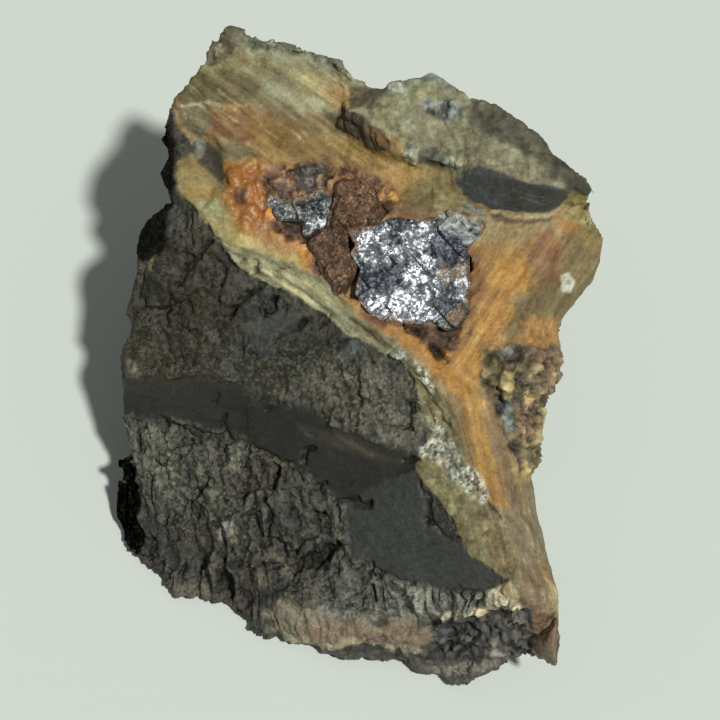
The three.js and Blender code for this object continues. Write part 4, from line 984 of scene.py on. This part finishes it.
def colour_hidden_sides(rock):
    """Slate with rusty joints, a skin of iron oxide next to the vein face, and pale veinlets beside it."""
    points = rock.points
    hidden = 1 - rock.facing
    above_vein = (points - VEIN_MIDDLE) @ vein_normal
    rusty = smooth_step(0.15, 0.7, layers(points * (1, 1, 0.6), 9, 521))
    rock.tint(hidden * rusty * 0.55, RUST, 0.2)
    rock.tint(hidden * smooth_step(-6, -1, above_vein + 2.5 * layers(points, 8, 511, 2)) * 0.7, OLIVE, 0.2)
    veinlet = 1 - smooth_step(0.0, 0.3, np.abs((above_vein + 3 * noise(points, 16, 531)) % 17 - 8.5))
    rock.tint(hidden * veinlet * 0.6, TAN, 0.4)


def node_of(tree, kind, operation=None, **sockets):
    """Adds a shader node. A socket given a node's output is linked to it, and any other value is set."""
    made = tree.nodes.new(kind)
    if operation:
        made.operation = operation
    for name, value in sockets.items():
        socket = made.inputs[int(name[1:]) if name[0] == "_" else name.replace("_", " ")]
        if isinstance(value, bpy.types.NodeSocket):
            tree.links.new(value, socket)
        else:
            socket.default_value = value
    return made


def new_material(name):
    material = bpy.data.materials.new(name)
    material.use_nodes = True
    return material, material.node_tree, material.node_tree.nodes["Principled BSDF"]


def attribute(tree, name, output="Fac"):
    made = tree.nodes.new("ShaderNodeAttribute")
    made.attribute_name = name
    return made.outputs[output]


def added(tree, first, second):
    return node_of(tree, "ShaderNodeMath", "ADD", _0=first, _1=second).outputs[0]


def scaled(tree, first, second):
    return node_of(tree, "ShaderNodeMath", "MULTIPLY", _0=first, _1=second).outputs[0]


def between(tree, value, low, high, to_low, to_high):
    """A value mapped from one span to another, and kept inside it."""
    made = node_of(tree, "ShaderNodeMapRange", Value=value, From_Min=low, From_Max=high, To_Min=to_low,
                   To_Max=to_high)
    return made.outputs[0]


def place_on(tree):
    return tree.nodes.new("ShaderNodeTexCoord").outputs["Object"]


def fine_noise(tree, size, detail=3.0, roughness=0.55):
    """Noise whose lumps are of the given size in millimetres."""
    made = node_of(tree, "ShaderNodeTexNoise", Vector=place_on(tree), Scale=1 / (size * MM), Detail=detail,
                   Roughness=roughness)
    return made.outputs["Fac"]


def streak_noise(tree, way, size):
    """Noise drawn out along one direction, in streaks of the given width in millimetres."""
    place = place_on(tree)
    along = node_of(tree, "ShaderNodeVectorMath", "DOT_PRODUCT", _0=place, _1=way).outputs["Value"]
    back = shaded(tree, way, scaled(tree, along, -0.92))
    drawn = node_of(tree, "ShaderNodeVectorMath", "ADD", _0=place, _1=back).outputs[0]
    made = node_of(tree, "ShaderNodeTexNoise", Vector=drawn, Scale=1 / (size * MM), Detail=3.0, Roughness=0.6)
    return added(tree, made.outputs["Fac"], -0.5)


def tilted(tree, normal, size, amount):
    """The normal leaned another way in each chip of the given size, and a random number for each chip."""
    cells = node_of(tree, "ShaderNodeTexVoronoi", Vector=place_on(tree), Scale=1 / (size * MM))
    colour = cells.outputs["Color"]
    lean = node_of(tree, "ShaderNodeVectorMath", "SUBTRACT", _0=colour, _1=(0.5, 0.5, 0.5)).outputs[0]
    leaned = node_of(tree, "ShaderNodeVectorMath", "ADD", _0=normal, _1=shaded(tree, lean, amount)).outputs[0]
    number = node_of(tree, "ShaderNodeSeparateColor", Color=colour).outputs[2]
    return node_of(tree, "ShaderNodeVectorMath", "NORMALIZE", _0=leaned).outputs[0], number


def normal_on(tree):
    return tree.nodes.new("ShaderNodeNewGeometry").outputs["Normal"]


def shaded(tree, colour, factor):
    """A colour made brighter or darker by a factor."""
    return node_of(tree, "ShaderNodeVectorMath", "SCALE", _0=colour, Scale=factor).outputs[0]


def bumped(tree, shader, height, normal):
    """Gives a shader the relief of a height in metres over a normal."""
    bump = node_of(tree, "ShaderNodeBump", Strength=1.0, Distance=1.0, Height=height, Normal=normal)
    tree.links.new(bump.outputs[0], shader.inputs["Normal"])


# Painted glints on the pale specks of the slate, as the linear colour that a shader takes.
GOLD_GLINT = (0.17, 0.15, 0.085)


def slate_material():
    material, tree, shader = new_material("slate")
    gloss = attribute(tree, "gloss")
    hackle = attribute(tree, "hackle")
    normal, broad = tilted(tree, normal_on(tree), 1.2, scaled(tree, hackle, 0.5))
    normal, small = tilted(tree, normal, 0.45, scaled(tree, hackle, 0.6))
    fine = fine_noise(tree, 0.4, 4, 0.65)
    chips = added(tree, between(tree, broad, 0, 1, -0.15, 0.15), between(tree, small, 0, 1, -0.28, 0.28))
    plain = between(tree, hackle, 0, 1, 1.1, 0)
    streaks = scaled(tree, streak_noise(tree, PLANE_STREAKS, 0.7), plain)
    chipped = added(tree, added(tree, 1.0, streaks), scaled(tree, chips, hackle))
    light = scaled(tree, between(tree, fine, 0.3, 0.7, 0.62, 1.38), chipped)
    # Painted glints: gold added to the colour of some chips where the slate has specks.
    speck = scaled(tree, between(tree, small, 0.62, 0.95, 0, 1), attribute(tree, "glint_specks"))
    body = shaded(tree, attribute(tree, "tint", "Color"), light)
    gold = shaded(tree, GOLD_GLINT, scaled(tree, speck, between(tree, fine, 0.4, 0.6, 0.2, 1)))
    specked = node_of(tree, "ShaderNodeVectorMath", "ADD", _0=body, _1=gold).outputs[0]
    tree.links.new(specked, shader.inputs["Base Color"])
    rough = added(tree, between(tree, small, 0, 1, 0.5, 0.8), scaled(tree, gloss, -0.25))
    tree.links.new(rough, shader.inputs["Roughness"])
    tree.links.new(between(tree, gloss, 0, 0.15, 0, 0.5), shader.inputs["Specular IOR Level"])
    bumped(tree, shader, scaled(tree, fine, 0.13 * MM), normal)
    return material


# The striae of the coating: how far each kind covers a point, its way, and the width of its streaks.
STRIAE = [("down_right", DOWN_RIGHT, 0.55), ("down_left", DOWN_LEFT, 0.6), ("down", DOWN, 0.6)]


def vein_skin_material():
    material, tree, shader = new_material("vein_skin")
    gloss = attribute(tree, "gloss")
    normal, broad = tilted(tree, normal_on(tree), 1.2, 0.14)
    normal, small = tilted(tree, normal, 0.45, 0.3)
    fine = fine_noise(tree, 0.4, 4, 0.62)
    streaks = 0.0
    for name, way, width in STRIAE:
        own = scaled(tree, streak_noise(tree, way, width), attribute(tree, name))
        streaks = added(tree, streaks, own)
    light = added(tree, between(tree, fine, 0.3, 0.7, 0.82, 1.18), between(tree, small, 0, 1, -0.08, 0.08))
    light = added(tree, light, scaled(tree, streaks, 0.75))
    grain = scaled(tree, between(tree, small, 0, 1, -0.55, 0.55), attribute(tree, "grainy"))
    light = added(tree, light, grain)
    tree.links.new(shaded(tree, attribute(tree, "tint", "Color"), light), shader.inputs["Base Color"])
    rough = added(tree, between(tree, broad, 0, 1, 0.72, 0.88), scaled(tree, gloss, -0.5))
    tree.links.new(rough, shader.inputs["Roughness"])
    tree.links.new(between(tree, gloss, 0.4, 1, 0.5, 1.0), shader.inputs["Specular IOR Level"])
    bumped(tree, shader, added(tree, scaled(tree, fine, 0.10 * MM), scaled(tree, streaks, 0.25 * MM)), normal)
    return material


def linear(srgb):
    """sRGB colours from 0 to 255 as the linear numbers that a shader takes."""
    share = np.clip(srgb / 255, 0, 1)
    return np.where(share <= 0.04045, share / 12.92, ((share + 0.055) / 1.055) ** 2.4)


def write_piece(name, surface, moved, quads, numbers, material):
    """Makes a piece of some faces of a surface, with its points moved, to stand for its CAD node."""
    used, corners = np.unique(quads, return_inverse=True)
    mesh = bpy.data.meshes.new(name)
    mesh.from_pydata(moved[used] * MM, [], corners.reshape(-1, 4))
    for key, values in numbers.items():
        mesh.attributes.new(key, "FLOAT", "POINT").data.foreach_set("value", values[used].astype(np.float32))
    rgba = np.ones((len(used), 4), np.float32)
    rgba[:, :3] = linear(surface.colour[used])
    mesh.attributes.new("tint", "FLOAT_COLOR", "POINT").data.foreach_set("color", rgba.ravel())
    mesh.materials.append(material)
    mesh.shade_smooth()
    mesh.normals_split_custom_set_from_vertices(surface.normals_of(moved)[used])
    piece = bpy.data.objects.new(name, mesh)
    bpy.context.scene.collection.objects.link(piece)
    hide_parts(surface.node)
    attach(piece, "root")
    return piece


def make_host_rock():
    rock = Surface("host_rock", ROCK_VOXEL, SLATE, 0.15)
    vein = rock.cover(VEIN_FACE, 1.2, 2) * rock.facing
    hackle, smooth, number, crest_light_and_hollow_shade = shape_slate(rock, vein)
    pieces, crumbs, granular, knobs = shape_vein(rock, vein)
    glint_specks = colour_slate(rock, rock.facing * (1 - vein), hackle, smooth * (1 - vein), number, crest_light_and_hollow_shade)
    rind, coating = colour_vein(rock, vein, pieces, crumbs, granular, knobs)
    colour_hidden_sides(rock)
    broken = smooth_step(-0.7, 0.1, layers(rock.points, 1.4, 541))
    for path, width, depth in CRACKS:
        rock.height -= rock.along(path, 3 * width, 4) * rock.facing * depth
        # Painted shade: black along the middle of each crack, broken here and there.
        rock.tint(rock.along(path, 1.3 * width, 3.5) * rock.facing * broken * 0.7, BLACK, 0.0)

    low, high = (np.array(corner) / MM for corner in cad_box)
    from_side = np.minimum(rock.points - low, high - rock.points)[:, :2].min(1)
    rock.height *= smooth_step(-0.5, 3.0, from_side)
    on_table = smooth_step(0.1, 1.5, rock.points[:, 2])
    moved = rock.points + rock.normals * (rock.height * on_table)[:, None]
    moved = np.clip(moved, low, high)

    coated = np.maximum(np.maximum(vein, rind), rock.cover(PROW, 2) * rock.facing)
    skin = coated[rock.quads].mean(1) > 0.5
    front = ~skin & (rock.facing[rock.quads].mean(1) > 0.5)
    under = ~skin & ~front & (rock.normals[rock.quads, 2].mean(1) < -0.5)
    coating["gloss"] = rock.gloss
    numbers = {"gloss": rock.gloss, "hackle": hackle, "glint_specks": glint_specks}
    slate = slate_material()
    write_piece("vein_face", rock, moved, rock.quads[skin], coating, vein_skin_material())
    write_piece("slate_front", rock, moved, rock.quads[front], numbers, slate)
    write_piece("slate_underside", rock, moved, rock.quads[under], numbers, slate)
    write_piece("slate_sides", rock, moved, rock.quads[~skin & ~front & ~under], numbers, slate)


make_host_rock()


# The large galena: a cleaved mass of cubes grown together, lead-grey metal with painted highlights on the
# bright cleavage faces and painted shade on the dull ones, and a weathered corner. It fills a hollow in the
# vein face and is a little larger than its CAD solid, to touch the rock.
GALENA_VOXEL = 0.17
SEAM = 0.42
BRIGHT = (190, 193, 196)
LEAD_GREY = (116, 121, 123)
SHADED_GREY = (76, 80, 86)
FILM = (122, 98, 66)
SEAM_BROWN = (112, 84, 54)
WEATHERED_GREY = (146, 152, 142)

# The lattice of the large mass is turned this far in the vein face, in radians.
LARGE_TURN = 0.72

# Its outline, and on it the cleavage faces painted bright as highlights and dull as shade, the brown films
# and the weathered corner.
LARGE_OUTLINE = [
    (352, 232), (366, 231), (376, 224), (397, 219), (428, 221), (451, 214), (484, 222), (480, 238),
    (466, 248), (466, 301), (458, 321), (449, 327), (428, 321), (402, 321), (386, 318), (366, 308),
    (356, 296), (361, 270), (353, 257), (359, 249),
]
LARGE_HIGHLIGHTS = [
    [(352, 232), (362, 228), (374, 234), (372, 246), (380, 252), (374, 262), (364, 254), (358, 246)],
    [(374, 238), (384, 226), (392, 230), (388, 240), (398, 248), (392, 256), (382, 248)],
    [(404, 240), (416, 232), (424, 220), (434, 224), (434, 236), (424, 250), (412, 262), (402, 256)],
    [(398, 232), (408, 226), (414, 232), (406, 240)],
    [(410, 262), (424, 254), (434, 262), (430, 276), (424, 288), (414, 290), (404, 276)],
    [(416, 286), (430, 286), (432, 316), (418, 320), (412, 306)],
    [(428, 276), (446, 272), (452, 282), (442, 290), (430, 288)],
    [(360, 304), (376, 290), (388, 296), (404, 286), (414, 296), (404, 312), (412, 324), (392, 322),
     (372, 316)],
    [(412, 298), (424, 300), (430, 314), (420, 322), (412, 318)],
    [(454, 272), (464, 266), (466, 300), (456, 298)],
]
LARGE_SHADED_FACES = [
    [(384, 226), (404, 218), (410, 232), (398, 244), (390, 240)],
    [(430, 242), (440, 226), (460, 236), (464, 256), (448, 270), (430, 272), (422, 260)],
    [(358, 264), (380, 262), (402, 266), (406, 282), (392, 290), (372, 294), (358, 304), (360, 286)],
    [(436, 298), (466, 296), (464, 318), (450, 324), (438, 312)],
]
LARGE_FILM = [
    [(436, 266), (462, 262), (462, 284), (444, 284)],
    [(440, 308), (462, 304), (466, 318), (456, 322), (442, 320)],
    [(398, 306), (408, 304), (410, 312), (400, 314)],
]
WEATHERED_CORNER = [
    (438, 212), (452, 208), (476, 214), (490, 225), (480, 238), (466, 246), (458, 234), (442, 228),
]


def galena_material():
    material, tree, shader = new_material("galena")
    gloss = attribute(tree, "gloss")
    bare = attribute(tree, "bare")
    normal, broad = tilted(tree, normal_on(tree), 2.0, 0.3)
    normal, small = tilted(tree, normal, 0.8, 0.5)
    normal, tiny = tilted(tree, normal, 0.3, 0.36)
    fine = fine_noise(tree, 0.5, 3, 0.6)
    light = added(tree, between(tree, fine, 0.3, 0.7, 0.8, 1.1), between(tree, broad, 0, 1, -0.14, 0.14))
    light = added(tree, light, between(tree, tiny, 0, 1, -0.14, 0.14))
    tree.links.new(shaded(tree, attribute(tree, "tint", "Color"), light), shader.inputs["Base Color"])
    tree.links.new(bare, shader.inputs["Metallic"])
    rough = added(tree, between(tree, gloss, 0, 1, 0.62, 0.46), between(tree, small, 0, 1, -0.05, 0.05))
    tree.links.new(rough, shader.inputs["Roughness"])
    bumped(tree, shader, scaled(tree, fine, 0.05 * MM), normal)
    return material


def cleavage(points, turn, cube, salt):
    """Height of small cubes of one lattice, turned in the vein face and broken off at different steps."""
    across = math.cos(turn) * np.array((1, 0, 0)) + math.sin(turn) * up_the_vein
    up = np.cross(vein_normal, across)
    cells = np.stack([np.floor(points @ across / cube), np.floor(points @ up / cube), points[:, 0] * 0], 1)
    return scatter(cells.astype(np.int64), salt) - 0.5


def fill_pocket(surface, height, sink=0.45):
    """Places of the points of a mass set in the rock, grown sideways over the seam, and sunk a little."""
    out = surface.normals @ vein_normal
    sideways = surface.normals - out[:, None] * vein_normal
    top = smooth_step(0.3, 0.8, out)
    return surface.points + sideways * SEAM + vein_normal * (top * (height - sink))[:, None]


def make_galena(node, turn, base, shine, outline, bright, dull, film, weathered, salt):
    """Galena over its CAD node: faces painted bright and dull as highlight and shade, films, weathering, a
    brown edge.
    """
    ore = Surface(node, GALENA_VOXEL, base, 0.6)
    bare = np.ones(len(ore.points))
    ore.vary(layers(ore.points, 2.5, salt + 40), (0.25, 0.25, 0.25))
    # Painted shade on the faces turned from the light, and painted highlights on those that catch it.
    for patch in dull:
        ore.paint(patch, SHADED_GREY, 0.8, 0.4, 4, 5)
    for patch in bright:
        ore.paint(patch, BRIGHT, shine, 1.0, 3, 4.5)
    patchy = smooth_step(-0.5, 0.4, layers(ore.points, 1.5, salt + 60))
    for patch in film:
        share = ore.cover(patch, 3, 5) * patchy * 0.8
        ore.tint(share, FILM)
        bare *= 1 - share
    for patch in weathered:
        share = ore.cover(patch, 2.5, 4)
        ore.tint(share * (0.5 + 0.5 * patchy), WEATHERED_GREY)
        ore.vary(share * layers(ore.points, 0.9, salt + 90), (0.6, 0.6, 0.6))
        bare *= 1 - 0.9 * share
    edge = 1 - ore.cover(outline, 3.5, 4)
    ore.tint(edge * 0.85, SEAM_BROWN)
    bare *= 1 - 0.9 * edge
    broad, _ = facets(ore.points, 3.0, salt)
    small, _ = facets(ore.points, 1.2, salt + 20)
    steps = 0.05 * cleavage(ore.points, turn, 1.4, salt)
    moved = fill_pocket(ore, 0.25 * layers(ore.points, 2.6, salt + 6) - 0.15 * broad - 0.06 * small + steps)
    write_piece(node + "_surface", ore, moved, ore.quads, {"gloss": ore.gloss, "bare": bare}, metal)


metal = galena_material()

make_galena("galena_large", LARGE_TURN, LEAD_GREY, 0.9, LARGE_OUTLINE, LARGE_HIGHLIGHTS, LARGE_SHADED_FACES, LARGE_FILM,
            [WEATHERED_CORNER], 400)


# The small galena: a duller mass of the same mineral, up and to the left of the large one, with a painted
# highlight on its lower corner. It is set in the rock in the same way.
SMALL_GREY = (98, 103, 101)
SMALL_TURN = 0.35

SMALL_OUTLINE = [
    (264, 198), (272, 196), (282, 203), (300, 203), (312, 192), (332, 194), (332, 216), (322, 230),
    (308, 236), (304, 222), (282, 221), (272, 212),
]
SMALL_HIGHLIGHTS = [
    [(306, 224), (318, 218), (326, 206), (331, 212), (326, 226), (312, 232)],
    [(266, 202), (274, 198), (278, 208), (270, 214)],
]
SMALL_FILM = [
    [(286, 206), (293, 205), (293, 211), (287, 211)], [(258, 186), (280, 186), (276, 200), (262, 204)],
    [(296, 184), (320, 186), (316, 198), (300, 198)],
]


make_galena("galena_small", SMALL_TURN, SMALL_GREY, 0.6, SMALL_OUTLINE, SMALL_HIGHLIGHTS, [], SMALL_FILM, [], 500)


# The limonite crust: a granular reddish-brown mass between the two galenas, of grains under a millimetre with
# small glossy faces. It seats in its hollow beside an open crack.
CRUST_VOXEL = 0.2
CRUST_SINK = 0.9
CRUST_BROWN = (86, 64, 45)
CRUST_TAN = (104, 78, 52)

# The paler upper part of the crust.
CRUST_TOP = [(336, 176), (380, 176), (388, 206), (350, 214), (336, 200)]


def limonite_material():
    material, tree, shader = new_material("limonite")
    normal, broad = tilted(tree, normal_on(tree), 0.8, 0.5)
    normal, small = tilted(tree, normal, 0.35, 0.7)
    fine = fine_noise(tree, 0.4, 4, 0.7)
    light = scaled(tree, between(tree, fine, 0.3, 0.7, 0.6, 1.4), between(tree, small, 0, 1, 0.7, 1.2))
    # Painted glints: a few of the chips are made much brighter.
    light = added(tree, light, between(tree, small, 0.8, 1, 0, 1.3))
    tree.links.new(shaded(tree, attribute(tree, "tint", "Color"), light), shader.inputs["Base Color"])
    tree.links.new(between(tree, broad, 0.2, 1, 0.8, 0.4), shader.inputs["Roughness"])
    bumped(tree, shader, scaled(tree, fine, 0.16 * MM), normal)
    return material


def make_limonite_crust():
    crust = Surface("limonite_crust", CRUST_VOXEL, CRUST_BROWN, 0.3)
    lumps = layers(crust.points, 3, 640)
    crumbs = layers(crust.points, 1.1, 620)
    balls = grains(crust.points, 0.8, 660)
    crust.paint(CRUST_TOP, CRUST_TAN, 0.6, soft=6)
    crust.vary(layers(crust.points, 2.4, 601), (0.16, 0.2, 0.22))
    # Painted light on the raised grains of the crust and painted shade in its pits.
    crust.vary(0.6 * crumbs + 0.4 * (balls - 0.5), (0.4, 0.4, 0.4))
    moved = fill_pocket(crust, 0.3 * lumps + 0.25 * crumbs + 0.3 * balls, CRUST_SINK)
    write_piece("limonite_crust_surface", crust, moved, crust.quads, {}, limonite_material())


make_limonite_crust()


# A plain pale table, and the light of a bright window high on the right. The table's size is in metres, and
# its colour and the sky's are linear.
TABLE_SIZE = 3.0
TABLE_GREEN = (0.60, 0.65, 0.58, 1)
TABLE_ROUGHNESS = 0.55
SUN_FROM = (0.36, -0.42, 1.0)
SUN_STRENGTH = 3.2
SUN_WIDTH = math.radians(4)
SKY = (0.93, 0.97, 1.0, 1)
SKY_STRENGTH = 0.2


def make_table():
    bpy.ops.mesh.primitive_plane_add(size=TABLE_SIZE)
    table = bpy.context.object
    table.name = "table"
    material, tree, shader = new_material("table")
    shader.inputs["Base Color"].default_value = TABLE_GREEN
    shader.inputs["Roughness"].default_value = TABLE_ROUGHNESS
    table.data.materials.append(material)


def make_light():
    data = bpy.data.lights.new("sun", "SUN")
    data.energy = SUN_STRENGTH
    data.angle = SUN_WIDTH
    sun = bpy.data.objects.new("sun", data)
    bpy.context.scene.collection.objects.link(sun)
    sun.rotation_euler = Vector(SUN_FROM).to_track_quat("Z", "Y").to_euler()
    world = bpy.data.worlds.new("room")
    world.use_nodes = True
    sky = world.node_tree.nodes["Background"]
    sky.inputs["Color"].default_value = SKY
    sky.inputs["Strength"].default_value = SKY_STRENGTH
    bpy.context.scene.world = world
    bpy.context.scene.view_settings.view_transform = "Standard"


make_table()
make_light()
